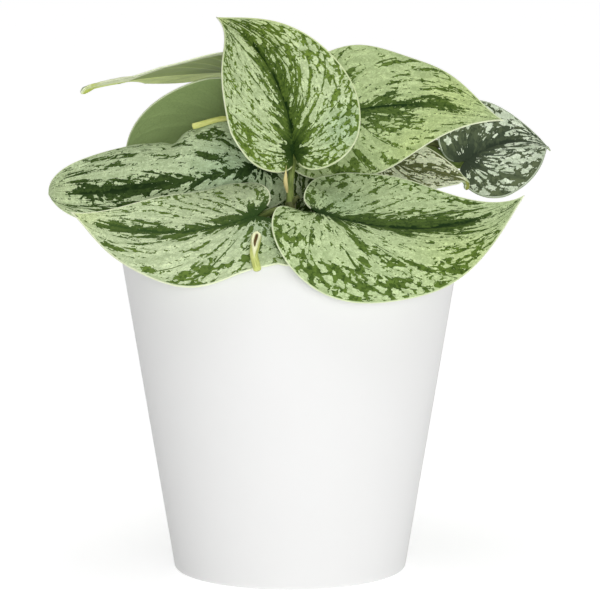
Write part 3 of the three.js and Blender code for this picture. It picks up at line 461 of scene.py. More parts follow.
def satin_markings():
    """Green marks on a silver blade, built up from small cells that lie along the side veins."""
    tree, given, result = group(
        "satin_markings",
        [*((label, VECTOR) for label in LEAF_MAPS), *((label, FLOAT) for label in LEAF_VALUES)],
        [(label, FLOAT) for label in MARKING_RESULTS])
    source = given.outputs
    past_band, edge = parts_of(tree, source["Zone"])
    amount, past_mark = parts_of(tree, source["Share"])
    near, tone = parts_of(tree, source["Near"])
    _, along = parts_of(tree, source["Way"])
    _, off = parts_of(tree, source["Flat"])
    off = calc(tree, "ABSOLUTE", off)
    apart = put(tree, "ShaderNodeVectorMath", {0: source["Flat"]}, operation="LENGTH").outputs["Value"]
    rib = vein_distance(tree, source["Rib"])
    shift = paired(tree, source["Seed"], source["Seed"])

    def placed(place, steps):
        """A place in steps, moved by the leaf's seed."""
        return stretch(tree, place, steps, shift)

    flat = scaled(tree, source["Flat"], source["Size"])
    drift = noise(tree, placed(flat, DRIFT_STEPS), detail=3.0, output="Color")

    def wobbled(place, across, along):
        """A place moved by up to half of so many mm either way."""
        return added(tree, place, stretch(tree, drift, (across, along, 0), (-across / 2, -along / 2, 0)))

    flat = wobbled(flat, 1.9, 1.9)
    way = wobbled(scaled(tree, source["Way"], source["Size"]), 1.3, 2.4)
    coarse = random_values(tree, cells(tree, placed(way, COARSE_STEPS)))
    fine = random_values(tree, cells(tree, placed(flat, FINE_STEPS)))
    broad = random_values(tree, cells(tree, placed(flat, BROAD_STEPS)))
    ragged = calc(tree, "MULTIPLY_ADD", coarse[0], 0.6, calc(tree, "MULTIPLY_ADD", fine[0], 0.4, -0.5))
    toothed = calc(tree, "MULTIPLY_ADD", ragged, 0.6, -0.25)
    toothed = calc(tree, "MULTIPLY_ADD", broad[0], 0.5, toothed)
    streak = noise(tree, placed(way, STREAK_STEPS))
    blotch = noise(tree, placed(way, BLOTCH_STEPS))

    # The dark band has a toothed edge and points that run out along the side veins.
    spike = ramp(tree, noise(tree, placed(paired(tree, near, along), SPIKE_STEPS)), 0.46, 0.62)
    spikes = calc(tree, "MULTIPLY", source["Spikes"], ramp(tree, apart, 16.0, 6.0, 1.0, 1.6))
    reach = calc(tree, "MULTIPLY_ADD", spike, spikes, ramp(tree, rib, 0.8, 0.1, 0.0, 1.4))
    reach = calc(tree, "MULTIPLY_ADD", toothed, 5.5, reach)
    in_band = crisp(tree, calc(tree, "SUBTRACT", reach, past_band), 0.1)

    # Marks lie where they were laid, and loose flecks in some of the cells between the veins.
    in_mark = calc(tree, "MULTIPLY_ADD", ragged, 1.8, calc(tree, "MULTIPLY", past_mark, -1.0))
    in_mark = crisp(tree, in_mark, 0.08)
    wall = ramp(tree, wall_distance(tree, placed(way, FLECK_STEPS)), 0.32, 0.0, -0.12, 0.2)
    chance = calc(tree, "MULTIPLY_ADD", streak, 0.25, calc(tree, "MULTIPLY", blotch, 0.75))
    chance = calc(tree, "MULTIPLY_ADD", ragged, 0.36, chance)
    chance = calc(tree, "ADD", chance, wall)
    line = calc(tree, "MULTIPLY_ADD", amount, -0.34, 0.735)
    fleck = crisp(tree, calc(tree, "SUBTRACT", chance, line), 0.01)
    # Flecks and threads stay off the thin band along the margin that is painted pale as sheen.
    outside_margin_sheen = ramp(tree, edge, 0.35, 0.75)
    fleck = calc(tree, "MULTIPLY", calc(tree, "MAXIMUM", fleck, in_mark), outside_margin_sheen)

    # Some side veins carry a thin green thread.
    present = noise(tree, placed(way, THREAD_STEPS), detail=1.0)
    present = ramp(tree, calc(tree, "MULTIPLY_ADD", source["Threads"], 0.1, present), 0.6, 0.69)
    thread = calc(tree, "MULTIPLY", present, calc(tree, "MULTIPLY_ADD", coarse[1], 0.5, 0.1))
    on_vein = crisp(tree, calc(tree, "SUBTRACT", thread, rib), 0.05)
    on_vein = calc(tree, "MULTIPLY", on_vein, outside_margin_sheen)
    green = calc(tree, "MAXIMUM", in_band, calc(tree, "MAXIMUM", fleck, on_vein))

    # The green is deepest beside the midrib and round the base, and freshest far from the midrib.
    core = ramp(tree, calc(tree, "MULTIPLY_ADD", toothed, 3.5, off), 2.2, 0.1)
    core = calc(tree, "MULTIPLY", core, ramp(tree, calc(tree, "SUBTRACT", off, past_band), 0.8, 3.6))
    heart = ramp(tree, calc(tree, "MULTIPLY_ADD", toothed, 5.0, apart), 12.0, 3.5, 0.0, 0.85)
    core = calc(tree, "MULTIPLY", calc(tree, "MAXIMUM", core, heart), in_band)
    spots = ramp(tree, fine[1], 0.4, 1.0, 0.0, 0.6)
    spots = calc(tree, "MAXIMUM", spots, calc(tree, "MULTIPLY", on_vein, 0.35))
    fresh = calc(tree, "MULTIPLY_ADD", coarse[2], 0.5, ramp(tree, off, 2.0, 16.0, 0.0, 0.5))

    # The silver has a fine net and a cloudy tint.
    net = ramp(tree, wall_distance(tree, placed(flat, NET_STEPS)), 0.11, 0.0)
    tint = calc(tree, "MULTIPLY_ADD", fine[2], 0.35, ramp(tree, blotch, 0.3, 0.7, 0.0, 0.4))
    lift = calc(tree, "MULTIPLY", noise(tree, source["Flat"], 3.0), 0.5)
    lift = calc(tree, "MULTIPLY_ADD", net, -0.5, lift)
    # The margin value is the painted sheen band; the tone gives painted shade below 0 and lighter, yellower
    # patches above.
    values = (green, calc(tree, "MAXIMUM", core, spots), fresh, net,
              calc(tree, "MULTIPLY_ADD", coarse[2], 0.25, tint), ramp(tree, edge, 0.5, 0.2),
              ramp(tree, tone, 0.0, -1.0), ramp(tree, tone, 0.0, 1.0),
              calc(tree, "MULTIPLY_ADD", green, -0.25, lift))
    for label, value in zip(MARKING_RESULTS, values):
        tree.links.new(value, result.inputs[label])
    return tree


def blade_finish(name, markings, look):
    """The upper face of one leaf."""
    material, tree, shader = finish(name, 0.5, 0.03)
    marks = put(tree, "ShaderNodeGroup", node_tree=markings)
    for label in LEAF_MAPS:
        tree.links.new(uv(tree, label), marks.inputs[label])
    for label in LEAF_VALUES:
        marks.inputs[label].default_value = look.get(label.lower(), 1.0)
    out = marks.outputs
    silver, green = np.array(look["silver"]), np.array(look["green"])
    ground = blend(tree, out["Tint"], silver * (0.68, 0.72, 0.65), silver * (1.45, 1.41, 1.48))
    ground = blend(tree, calc(tree, "MULTIPLY", out["Net"], 0.55), ground, silver * (0.56, 0.62, 0.5))
    leafy = blend(tree, out["Fresh"], green * 0.72, green * (1.75, 1.6, 1.3))
    leafy = blend(tree, out["Deep"], leafy, look["deep"])
    base = blend(tree, out["Green"], ground, leafy)
    # Painted shade, darker and bluer, where the tone is below 0. Above 0 a lighter, yellower patch, partly
    # tint and partly painted light.
    base = dyed(tree, out["PaintedShade"], base, (0.7, 0.8, 0.86))
    base = dyed(tree, out["WarmTintAndLight"], base, (1.06, 1.05, 0.78))
    # The margin colour is painted along the edge as the sheen of the curled edge.
    base = blend(tree, calc(tree, "MULTIPLY", out["EdgeSheen"], 0.75), base, look.get("margin", MARGIN_SHEEN))
    if "tip" in look:
        start, tip = look["tip"]
        along, _ = parts_of(tree, uv(tree, "Flat"))
        base = blend(tree, ramp(tree, along, start, start + 1.5), base, tip)
    dress(tree, shader, base, out["Lift"], 0.00012, 0.6)
    return material


def underside_finish(name, pale, dark, near=None, strip=None, tip=None, length=100.0):
    """The lower face: pale and dark colour it in clouds, near its left half, tip its end.

    strip colours the left half's rolled margin.
    """
    material, tree, shader = finish(name, 0.55, 0.16)
    way = uv(tree, "Way")
    along, off = parts_of(tree, uv(tree, "Flat"))
    _, edge = parts_of(tree, uv(tree, "Zone"))
    rib = vein_distance(tree, uv(tree, "Rib"))
    cloud = noise(tree, stretch(tree, way, (0.3, 0.12, 0)), detail=3.0)
    base = blend(tree, ramp(tree, cloud, 0.3, 0.7), dark, pale)
    base = blend(tree, ramp(tree, off, -0.3, 0.3, 0.0, 0.85), base, near or pale)
    base = blend(tree, ramp(tree, rib, 0.7, 0.1, 0.0, 0.18), base, np.array(pale) * 1.25)
    midrib = ramp(tree, calc(tree, "ABSOLUTE", off), 0.8, 0.2, 0.0, 0.6)
    base = blend(tree, midrib, base, np.array(pale) * 1.35)
    if strip:
        rolled = calc(tree, "MULTIPLY", ramp(tree, edge, 2.6, 1.6), ramp(tree, off, 0.2, 0.6))
        base = blend(tree, rolled, base, strip)
    base = blend(tree, ramp(tree, along, length * 0.84, length * 0.95), base, tip or pale)
    net = ramp(tree, wall_distance(tree, stretch(tree, way, (1.0, 0.5, 0))), 0.1, 0.0)
    base = blend(tree, calc(tree, "MULTIPLY", net, 0.2), base, np.array(dark) * 0.7)
    # Pale margin colour painted along the edge as sheen.
    base = blend(tree, ramp(tree, edge, 0.6, 0.3, 0.0, 0.6), base, MARGIN_SHEEN)
    dress(tree, shader, base, net, 0.0001, 0.5)
    return material


def streaked(tree, light, dark):
    """Streaks along a stalk: their colour, and the streaks as a height."""
    way = uv(tree, "Way")
    streak = noise(tree, stretch(tree, way, (3.3, 0.25, 0)), detail=3.0)
    patch = noise(tree, stretch(tree, way, (0.45, 0.12, 0)))
    share = calc(tree, "MULTIPLY_ADD", streak, 0.6, calc(tree, "MULTIPLY", patch, 0.5))
    return blend(tree, ramp(tree, share, 0.35, 0.72), dark, light), streak


def tissue_finish(name, light, dark):
    """Stalks, vines, leaf rims, most of them painted pale as sheen, and the rolled spear."""
    material, tree, shader = finish(name, 0.5, 0.2)
    dress(tree, shader, *streaked(tree, light, dark), 0.00015, 0.5)
    return material


def rolled_finish():
    """Yellow-green skin, cream lips and a brown throat."""
    material, tree, shader = finish("rolled_leaf_skin", 0.5, 0.2)
    base, streak = streaked(tree, (0.74, 0.79, 0.28), (0.36, 0.43, 0.08))
    level, _ = parts_of(tree, uv(tree, "Mouth"))
    base = blend(tree, ramp(tree, level, 2.6, 1.4), base, (0.90, 0.92, 0.58))
    throat = blend(tree, noise(tree, uv(tree, "Way"), 1.5), (0.035, 0.02, 0.006), (0.25, 0.16, 0.05))
    base = blend(tree, ramp(tree, level, 0.95, 0.8), base, throat)
    dress(tree, shader, base, streak, 0.00015, 0.5)
    return material


# ---------- leaf form ----------

SPINE_STEPS = 40
HOOK_START = 0.7  # share of the midrib from which the hook bends it
ROWS_PER_SIDE = 150
RINGS = np.append(np.linspace(0, 1, 33)[:-1] ** 1.2 * 0.975, (0.988, 1.0))
SINUS = 0.3  # where the outline starts beside the stalk
RIB_SPACING = 6.5
NEAR_OFFSET = 3.5  # distance from the midrib at which the spacing of the band's points is taken
BARE_BASE = (6, 6)
NO_MARK = 9.0  # further past a mark than its ragged edge can reach
HALF_SHIFT = 173.0  # gives the right half other cells than the left one
NEAR_SHIFT = 211.0  # gives it other points along its dark band
# Where the side veins end on the outline, where they leave the midrib, and by how many degrees
# they start wide of the straight way.
VEIN_ENDS = (0, 1.8, 2.0, 2.2, 2.4, 2.55, 2.7, 2.8, 2.88, 2.94, 3.0)
VEIN_ROOTS = (0, 0, 0.005, 0.025, 0.07, 0.12, 0.21, 0.315, 0.45, 0.62, 1.0)
VEIN_ARCH = ((0.3, 1.0, 1.5, 2.0, 2.5, 2.8, 3.0), (2, 8, 14, 20, 22, 20, 12))


def eased(values, start, length):
    """0 up to start, then rising evenly to 1 over length."""
    return np.clip((values - start) / length, 0, 1)


def cubic(points, t):
    a, b, c, d = (np.array(p, float) for p in points)
    s = 1 - t[:, None]
    t = t[:, None]
    return s**3 * a + 3 * s * s * t * b + 3 * s * t * t * c + t**3 * d


def outline(t, width, lobe, taper, tail=None):
    """Half outline: its basal lobe to t = 1, its shoulder to t = 2 and its tapering tip to t = 3."""
    w = width / 2
    shoulder = (0.52 - 0.1 * taper, w)
    point = (0.78 - 0.2 * taper, 0.07 - 0.05 * taper)
    spans = (((0, 0), (-lobe / 2, 0.02), (-lobe, 0.07), (-lobe, 0.44 * w)),
             ((-lobe, 0.44 * w), (-lobe, 0.78 * w), (-0.04, w), (0.17, w)),
             ((0.17, w), shoulder, point, (1, 0)))
    pieces = [cubic(span, np.clip(t - i, 0, 1)) for i, span in enumerate(spans)]
    which = np.clip(np.floor(t), 0, 2).astype(int)
    place = np.stack(pieces)[which, np.arange(len(t))]
    if tail:
        start, done, half_width, _ = tail
        narrow = eased(place[:, 0], start, done - start)
        bulb = 1 + 0.5 * eased(place[:, 0], 0.9, 0.07)
        blunt = half_width * bulb * np.sqrt(np.clip((1 - place[:, 0]) / 0.025, 0, 1))
        place[:, 1] += narrow * (blunt - place[:, 1])
    return place


def vein_rows(leaf, tail):
    """Where the side veins end, evenly along the outline and the midrib, alike on both halves."""
    fine = np.linspace(SINUS, 3, 900)
    even = (leaf["width"], sum(leaf["lobes"]) / 2, leaf["taper"], tail)
    gaps = np.linalg.norm(np.diff(outline(fine, *even), axis=0), axis=1)
    pace = np.append(0, np.cumsum(gaps + 0.7 * np.diff(np.interp(fine, VEIN_ENDS, VEIN_ROOTS))))
    return np.interp(np.linspace(0, pace[-1], ROWS_PER_SIDE), pace, fine)


def vein_grid(t, r, width, lobe, taper, tail=None):
    """Flat places at shares r of the side veins that end at t of the outline: rows by rings by 2."""
    end = outline(t, width, lobe, taper, tail)
    root = np.stack([np.interp(t, VEIN_ENDS, VEIN_ROOTS), 0 * t], 1)
    chord = end - root
    lead = np.arctan2(chord[:, 1], chord[:, 0]) + np.radians(np.interp(t, *VEIN_ARCH))
    reach = 0.55 * np.linalg.norm(chord, axis=1)[:, None]
    middle = root + reach * np.stack([np.cos(lead), np.sin(lead)], 1)
    r = r[None, :, None]
    s = 1 - r
    return s * s * root[:, None] + 2 * s * r * middle[:, None] + r * r * end[:, None]


def spine(leaf):
    """Frames along the midrib: place, direction, left side and upper face normal."""
    heading, pitch, roll = (math.radians(leaf[key]) for key in ("heading", "pitch", "roll"))
    level = math.cos(pitch)
    along = Vector((level * math.cos(heading), level * math.sin(heading), math.sin(pitch)))
    left = Vector((-math.sin(heading), math.cos(heading), 0))
    left = left * math.cos(roll) + along.cross(left) * math.sin(roll)
    up = along.cross(left)
    place = Vector(leaf["base"])
    frames = [(place, along, left, up)]
    crook_start, *crook_angles = leaf.get("crook", (1.0, 0.0, 0.0))
    hook_length = 1 - HOOK_START
    for i in range(SPINE_STEPS):
        in_hook = max(0.0, ((i + 0.5) / SPINE_STEPS - HOOK_START) / hook_length)
        in_crook = 1 / (1 - crook_start) if i >= crook_start * SPINE_STEPS else 0.0
        droop = leaf["bend"] + leaf["hook"] * in_hook * 2 / hook_length + crook_angles[0] * in_crook
        droop = math.radians(droop) / SPINE_STEPS
        turn = math.radians(leaf["sweep"] + crook_angles[1] * in_crook) / SPINE_STEPS
        twist = math.radians(leaf["twist"]) / SPINE_STEPS
        ahead = (along - up * droop + left * turn).normalized()
        place = place + (along + ahead) * (leaf["length"] / SPINE_STEPS / 2)
        left = left - along * turn + up * twist
        left = (left - ahead * left.dot(ahead)).normalized()
        along = ahead
        up = along.cross(left)
        frames.append((place, along, left, up))
    return [np.array(column) for column in zip(*frames)]


def blade_points(leaf, frames, side, flat):
    """Points of the blade's middle surface, in mm, from flat places as shares of the length."""
    half = 0 if side > 0 else 1
    length = leaf["length"]
    breadth = leaf["width"] / 2 * (leaf["skew"] if side > 0 else 2 - leaf["skew"]) * length
    x, across = flat[..., 0], flat[..., 1] * length
    run = np.clip(x, 0, 1) * SPINE_STEPS
    i = np.minimum(run.astype(int), SPINE_STEPS - 1)
    share = (run - i)[..., None]
    place, along, left, up = (column[i] * (1 - share) + column[i + 1] * share for column in frames)
    fold = math.radians(leaf["fold"][half])
    rate = math.radians(leaf["curl"][half]) / breadth + 1e-9
    out = (math.sin(fold) - np.sin(fold - rate * across)) / rate
    rise = (np.cos(fold - rate * across) - math.cos(fold)) / rate
    height, count, phase = leaf["waves"][half]
    lift = height * np.sin(2 * math.pi * (count * x + phase))
    for hump_side, middle, spread, hump in leaf.get("humps", ()):
        lift = lift + (hump_side == side) * hump * np.exp(-((x - middle) / spread) ** 2)
    rise = rise + lift * (across / breadth) ** 2
    behind = (np.minimum(x, 0) * length)[..., None]
    return place + along * behind + left * (side * out)[..., None] + up * rise[..., None]


def tucked_points(leaf, frames, side, flat):
    """The half's points, with its basal lobe laid under the other one's where the leaf says so."""
    length = leaf["length"]
    tucked_side, across, down = leaf.get("tuck", (0, 0, 0))
    behind = eased(-flat[..., 0] * length, 0, 6) * (side == tucked_side)
    laid = flat - np.stack([0 * behind, behind * across / length], -1)
    drop = behind * down * np.exp(-(flat[..., 1] * length / 9) ** 2)
    return blade_points(leaf, frames, side, laid) - frames[3][0] * drop[..., None]


def nearest(points, line):
    """Distance from each point to a polyline."""
    best = np.full(len(points), 1e9)
    for a, b in zip(line[:-1], line[1:]):
        ab = b - a
        share = np.clip(((points - a) @ ab) / max(ab @ ab, 1e-12), 0, 1)
        best = np.minimum(best, np.linalg.norm(points - a - share[:, None] * ab, axis=1))
    return best


def grid_ways(place):
    """The way to each place across and along the side veins, the way across them near the midrib,
    and how widely they stand at each place, where 1 is their spacing halfway out."""
    along = np.gradient(place, axis=1)
    along = along / np.maximum(np.linalg.norm(along, axis=2), 1e-9)[..., None]
    over = np.gradient(place, axis=0)
    gap = np.abs(along[..., 0] * over[..., 1] - along[..., 1] * over[..., 0])
    near_ring = np.abs(place[..., 1] - NEAR_OFFSET).argmin(1)
    step, near_step = (np.maximum(gap[np.arange(len(place)), ring], 0.02)
                       for ring in (len(RINGS) * 3 // 5, near_ring))
    across, near = (np.repeat(np.cumsum(steps)[:, None], len(RINGS), 1) for steps in (step, near_step))
    steps = np.linalg.norm(np.diff(place, axis=1), axis=2)
    way = np.concatenate([np.zeros((len(place), 1)), np.cumsum(steps, 1)], 1)
    return across, way, near, np.clip(gap / step[:, None], 0.03, 2)


def rib_turns(across, along, rng):
    """How many side veins lie before each place; they stand unevenly and wander a little."""
    ribs = np.arange(RIB_SPACING * 0.6, across[-1, 0] * 0.93, RIB_SPACING)
    ribs = ribs + np.array([rng.uniform(-1.6, 1.6) for _ in ribs])
    wander = 0.4 * np.sin(along / 7 + across / 9)
    knots = [ribs[0] - RIB_SPACING, *ribs, ribs[-1] + RIB_SPACING / 2]
    return np.interp(across + wander, knots, [*range(len(ribs) + 1), len(ribs) + 0.5])


def lay_marks(marks, share, ends, across, along, crowding):
    """The amount of flecks with the faint marks laid in, and the distance past the nearest full one."""
    past_mark = np.full(share.shape, NO_MARK)
    for end, part, reach, breadth, strength in marks:
        over = (across - np.interp(end, ends, across[:, 0])) * np.maximum(crowding, 0.3)
        level = np.hypot((along - part * np.interp(end, ends, along[:, -1])) / reach, over / breadth)
        if strength == 1:
            past_mark = np.minimum(past_mark, (level - 1) * breadth)
        else:
            share = share + (strength - share) * np.clip(2.2 - 1.5 * level, 0, 1)
    return share, past_mark


def half_thickness(leaf, x, edge):
    """A rim slightly thicker than the blade, and a round tail where the leaf has one."""
    thick = BLADE_THICKNESS / 2 * (1.12 - 0.12 * np.clip(edge / 0.8, 0, 1))
    if "tail" in leaf:
        start, _, half_width, half_thick = leaf["tail"]
        swelling = eased(x, start, 0.15) + 1.4 * eased(x, 0.9, 0.05)
        rounded = np.sqrt(np.clip(edge / half_width, 0, 1))
        thick = np.maximum(thick, half_thick * swelling * rounded)
    return thick


def half_blade(leaf, look, frames, side):
    """One half's places, relief and surface coordinates, as rows by rings arrays."""
    half = 0 if side > 0 else 1
    length, seed = leaf["length"], look["seed"]
    width = leaf["width"] * (leaf["skew"] if side > 0 else 2 - leaf["skew"])
    tail = leaf.get("tail")
    tail = tail and (*tail[:2], tail[2] / length, tail[3])
    ends = vein_rows(leaf, tail)
    flat = vein_grid(ends, RINGS, width, leaf["lobes"][half], leaf["taper"], tail)
    place = flat * length
    x, off = flat[..., 0], place[..., 1]
    across, along, near, crowding = grid_ways(place)
    turn = rib_turns(across, along, random.Random(seed * 2 + half))
    spacing = RIB_SPACING * crowding
    rib = np.abs((turn + 0.5) % 1 - 0.5) * spacing

    edge = nearest(place.reshape(-1, 2), place[:, -1]).reshape(rib.shape)
    widths = look["band"][half]
    past_band = off - np.interp(x, np.linspace(0, 1, len(widths)), widths)
    rim = (look["rim"] - look["flecks"]) * np.clip((1 - x) / 0.25, 0, 1)
    share = look["flecks"] + rim * np.clip((6.5 - edge) / 4, 0, 1)
    marks = [mark[1:] for mark in look["marks"] if mark[0] == side]
    share, past_mark = lay_marks(marks, share, ends, across, along, crowding)
    tone = np.zeros(rib.shape)
    for share_x, offset, spread, amount in look.get("tones", ()):
        gone = np.hypot(place[..., 0] - share_x * length, off * side - offset)
        tone = tone + amount * np.exp(-(gone / spread) ** 2)
    bare = np.hypot(place[..., 0], off) < look.get("bare", BARE_BASE)[half]

    # The side veins and the midrib lie sunk, and the blade is slightly quilted between them.
    valley = np.clip(edge / 6, 0, 1) * np.clip(along / 3, 0, 1)
    relief = -0.16 * np.exp(-(rib / 0.7) ** 2) * valley
    relief = relief - 0.28 * np.exp(-(off / 1.3) ** 2) * np.clip(1.1 - x, 0, 1)
    quilt = np.sin(across / 2.1 + seed) * np.sin(along / 3.4 + 2 * seed)
    relief = relief + 0.1 * quilt * valley

    maps = dict(Way=(across + HALF_SHIFT * half, along), Near=(near + NEAR_SHIFT * half, tone),
                Flat=(place[..., 0], off * side), Zone=(past_band, edge + bare),
                Rib=(turn, spacing), Share=(share, past_mark))
    return dict(flat=flat, points=tucked_points(leaf, frames, side, flat), relief=relief,
                thick=half_thickness(leaf, x, edge), bare=bare,
                **{name: np.stack(pair, -1) for name, pair in maps.items()})


def make_object(name, vertices, faces, materials, smooth=True):
    mesh = bpy.data.meshes.new(name)
    mesh.from_pydata([tuple(v) for v in vertices], [], [tuple(f) for f in faces])
    piece = bpy.data.objects.new(name, mesh)
    bpy.context.scene.collection.objects.link(piece)
    for material in materials:
        mesh.materials.append(material)
    if smooth:
        mesh.polygons.foreach_set("use_smooth", [True] * len(mesh.polygons))
    return piece


def add_uv(mesh, name, values):
    layer = mesh.uv_layers.new(name=name)
    layer.data.foreach_set("uv", np.asarray(values, np.float32).ravel())


def vertex_normals(points, faces):
    """Area weighted normals of a quad mesh; triangles repeat a corner."""
    corners = points[faces]
    area = np.cross(corners[:, 2] - corners[:, 0], corners[:, 3] - corners[:, 1])
    normals = np.zeros_like(points)
    for k in range(4):
        np.add.at(normals, faces[:, k], area)
    return normals / np.maximum(np.linalg.norm(normals, axis=1), 1e-12)[:, None]


def leaf_piece(name, leaf, look, materials):
    """A blade with an upper face, an underside and a rim, its halves welded at the midrib."""
    frames = spine(leaf)
    halves = [half_blade(leaf, look, frames, side) for side in (1, -1)]

    def gather(key, width):
        return np.concatenate([half[key].reshape(-1, width) for half in halves])

    keys = np.concatenate([np.stack([half["flat"][..., 0], side * half["flat"][..., 1]], -1).reshape(-1, 2)
                           for side, half in zip((1, -1), halves)])
    _, first, welded = np.unique(np.round(keys, 5), axis=0, return_index=True, return_inverse=True)
    welded = welded.ravel()
    points = gather("points", 3)[first]
    half_thick = gather("thick", 1)[first]

    rows, rings = ROWS_PER_SIDE, len(RINGS)
    grid = np.arange(rows * rings).reshape(rows, rings)
    left = np.stack([grid[:-1, :-1], grid[1:, :-1], grid[1:, 1:], grid[:-1, 1:]], -1).reshape(-1, 4)
    quads = np.concatenate([left, left[:, ::-1] + rows * rings])
    corners = welded[quads]
    middle = points + vertex_normals(points, corners) * gather("relief", 1)[first]
    out = vertex_normals(middle, corners) * half_thick
    vertices = np.concatenate([middle + out, middle - out])
    count = len(middle)

    faces, loops, slots = [], [], []
    border = {}
    for grid_ids, ids in zip(quads.tolist(), corners.tolist()):
        kept = [k for k in range(4) if ids[k] != ids[k - 1]]
        if len(kept) < 3 or len({ids[k] for k in kept}) < 3:
            continue
        face = [ids[k] for k in kept]
        faces += [face, [v + count for v in reversed(face)]]
        loops += [grid_ids[k] for k in (*kept, *reversed(kept))]
        slots += [0, 1]
        for a, b, ga, gb in zip(face, face[1:] + face[:1], kept, kept[1:] + kept[:1]):
            if border.pop((b, a), None) is None:
                border[(a, b)] = (grid_ids[ga], grid_ids[gb])
    bare = gather("bare", 1)[:, 0]
    # Rim faces take the margin finish, on most leaves a pale painted sheen, except close to the base.
    for (a, b), (ga, gb) in border.items():
        faces.append([b, a, a + count, b + count])
        loops += [gb, ga, ga, gb]
        slots.append(0 if bare[ga] else 2)
    piece = make_object(name + "_blade", vertices * MM, faces, materials)
    piece.data.polygons.foreach_set("material_index", slots)
    for key in LEAF_MAPS:
        add_uv(piece.data, key, gather(key, 2)[loops])
    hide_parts(name)
    return piece


# ---------- stalks and vines ----------

VINE_GRID = (90, 20)  # rings along a tube and sides round it
STALK_GRID = (60, 16)
SHEATH_GRID = (30, 12)
SPEAR_GRID = (60, 20)
ROLLED_GRID = (100, 60)
FRONT = (0, -1, 0)


def curve_points(points, count):
    """Evenly spaced points of the centripetal Catmull-Rom curve through points, and its length."""
    p = np.array(points, float)
    p = np.vstack([2 * p[0] - p[1], p, 2 * p[-1] - p[-2]])
    dense = [p[1][None]]
    for i in range(1, len(p) - 2):
        a, b, c, d = p[i - 1:i + 3]
        gaps = [math.sqrt(np.linalg.norm(v - u)) for u, v in ((a, b), (b, c), (c, d))]
        knots = np.append(0, np.cumsum(gaps))
        t = np.linspace(knots[1], knots[2], 41)[1:, None]

        def between(u, v, first, last):
            return (u * (knots[last] - t) + v * (t - knots[first])) / (knots[last] - knots[first])

        left = between(between(a, b, 0, 1), between(b, c, 1, 2), 0, 2)
        right = between(between(b, c, 1, 2), between(c, d, 2, 3), 1, 3)
        dense.append(between(left, right, 1, 2))
    dense = np.concatenate(dense)
    way = np.append(0, np.cumsum(np.linalg.norm(np.diff(dense, axis=0), axis=1)))
    even = np.linspace(0, way[-1], count)
    return np.stack([np.interp(even, way, dense[:, k]) for k in range(3)], 1), way[-1]


def tube(points, radius_at, grid, facing=FRONT):
    """Vertices, faces and UVs of a closed tube whose middle angle looks towards facing.

    radius_at takes the share of the way and the angles; the UVs are the angle and the way in mm.
    """
    rings, sides = grid
    centre, length = curve_points(points, rings)
    tangent = np.gradient(centre, axis=0)
    tangent /= np.linalg.norm(tangent, axis=1)[:, None]
    normal = -np.array(facing, float)
    angles = np.arange(sides) * 2 * math.pi / sides
    vertices, faces, loops = [], [], []
    for i in range(rings):
        normal = normal - tangent[i] * (normal @ tangent[i])
        normal = normal / np.linalg.norm(normal)
        side = np.cross(tangent[i], normal)
        radius = (radius_at(i / (rings - 1), angles) * np.ones(sides))[:, None]
        ring = np.cos(angles)[:, None] * normal + np.sin(angles)[:, None] * side
        vertices.append(centre[i] + radius * ring)
    for i in range(rings - 1):
        here, ahead = length * i / (rings - 1), length * (i + 1) / (rings - 1)
        for k in range(sides):
            a, b = i * sides + k, i * sides + (k + 1) % sides
            low, high = k * 2 * math.pi / sides, (k + 1) * 2 * math.pi / sides
            faces.append([a, b, b + sides, a + sides])
            loops += [(low, here), (high, here), (high, ahead), (low, ahead)]
    vertices = np.concatenate(vertices)
    for ring, push in ((0, -tangent[0]), (rings - 1, tangent[-1])):
        radius = np.linalg.norm(vertices[ring * sides] - centre[ring])
        tip = len(vertices)
        vertices = np.vstack([vertices, centre[ring] + push * 0.35 * radius])
        for k in range(sides):
            a, b = ring * sides + k, ring * sides + (k + 1) % sides
            faces.append([b, a, tip] if ring == 0 else [a, b, tip])
            loops += [(math.pi, ring / (rings - 1) * length)] * 3
    return vertices, faces, loops


def merged(parts):
    """Vertices and faces of several bodies in one list each."""
    vertices, faces, count = [], [], 0
    for points, polygons in parts:
        vertices.append(points)
        faces += [[v + count for v in face] for face in polygons]
        count += len(points)
    return np.concatenate(vertices), faces


def joined(name, parts, materials):
    """One object from tubes: parts is a list of (vertices, faces, loops, material index)."""
    vertices, faces = merged([part[:2] for part in parts])
    piece = make_object(name, vertices * MM, faces, materials)
    slots = [slot for _, polygons, _, slot in parts for _ in polygons]
    piece.data.polygons.foreach_set("material_index", slots)
    add_uv(piece.data, "Way", [loop for part in parts for loop in part[2]])
    return piece


def stalk_way(points, leaf):
    """From the vine to the joint just under the midrib's first millimetres."""
    place, along, _, up = (column[0] for column in spine(leaf))
    joint = place + along * 2
    return [*points, joint - up * 5 - along * 1.5, joint - up * 0.5]


def stalk_radius(share, angles):
    """A stalk widens into its sheath at the vine, thickens below its blade and has a groove."""
    sheath = 0.35 * math.exp(-(share / 0.22) ** 2)
    joint = 0.14 * math.exp(-((share - 0.9) / 0.07) ** 2)
    groove = 1 - 0.12 * np.exp(-((angles - 4.4) / 0.5) ** 2)
    return STALK_RADIUS * (1.04 - 0.14 * share + sheath + joint) * groove


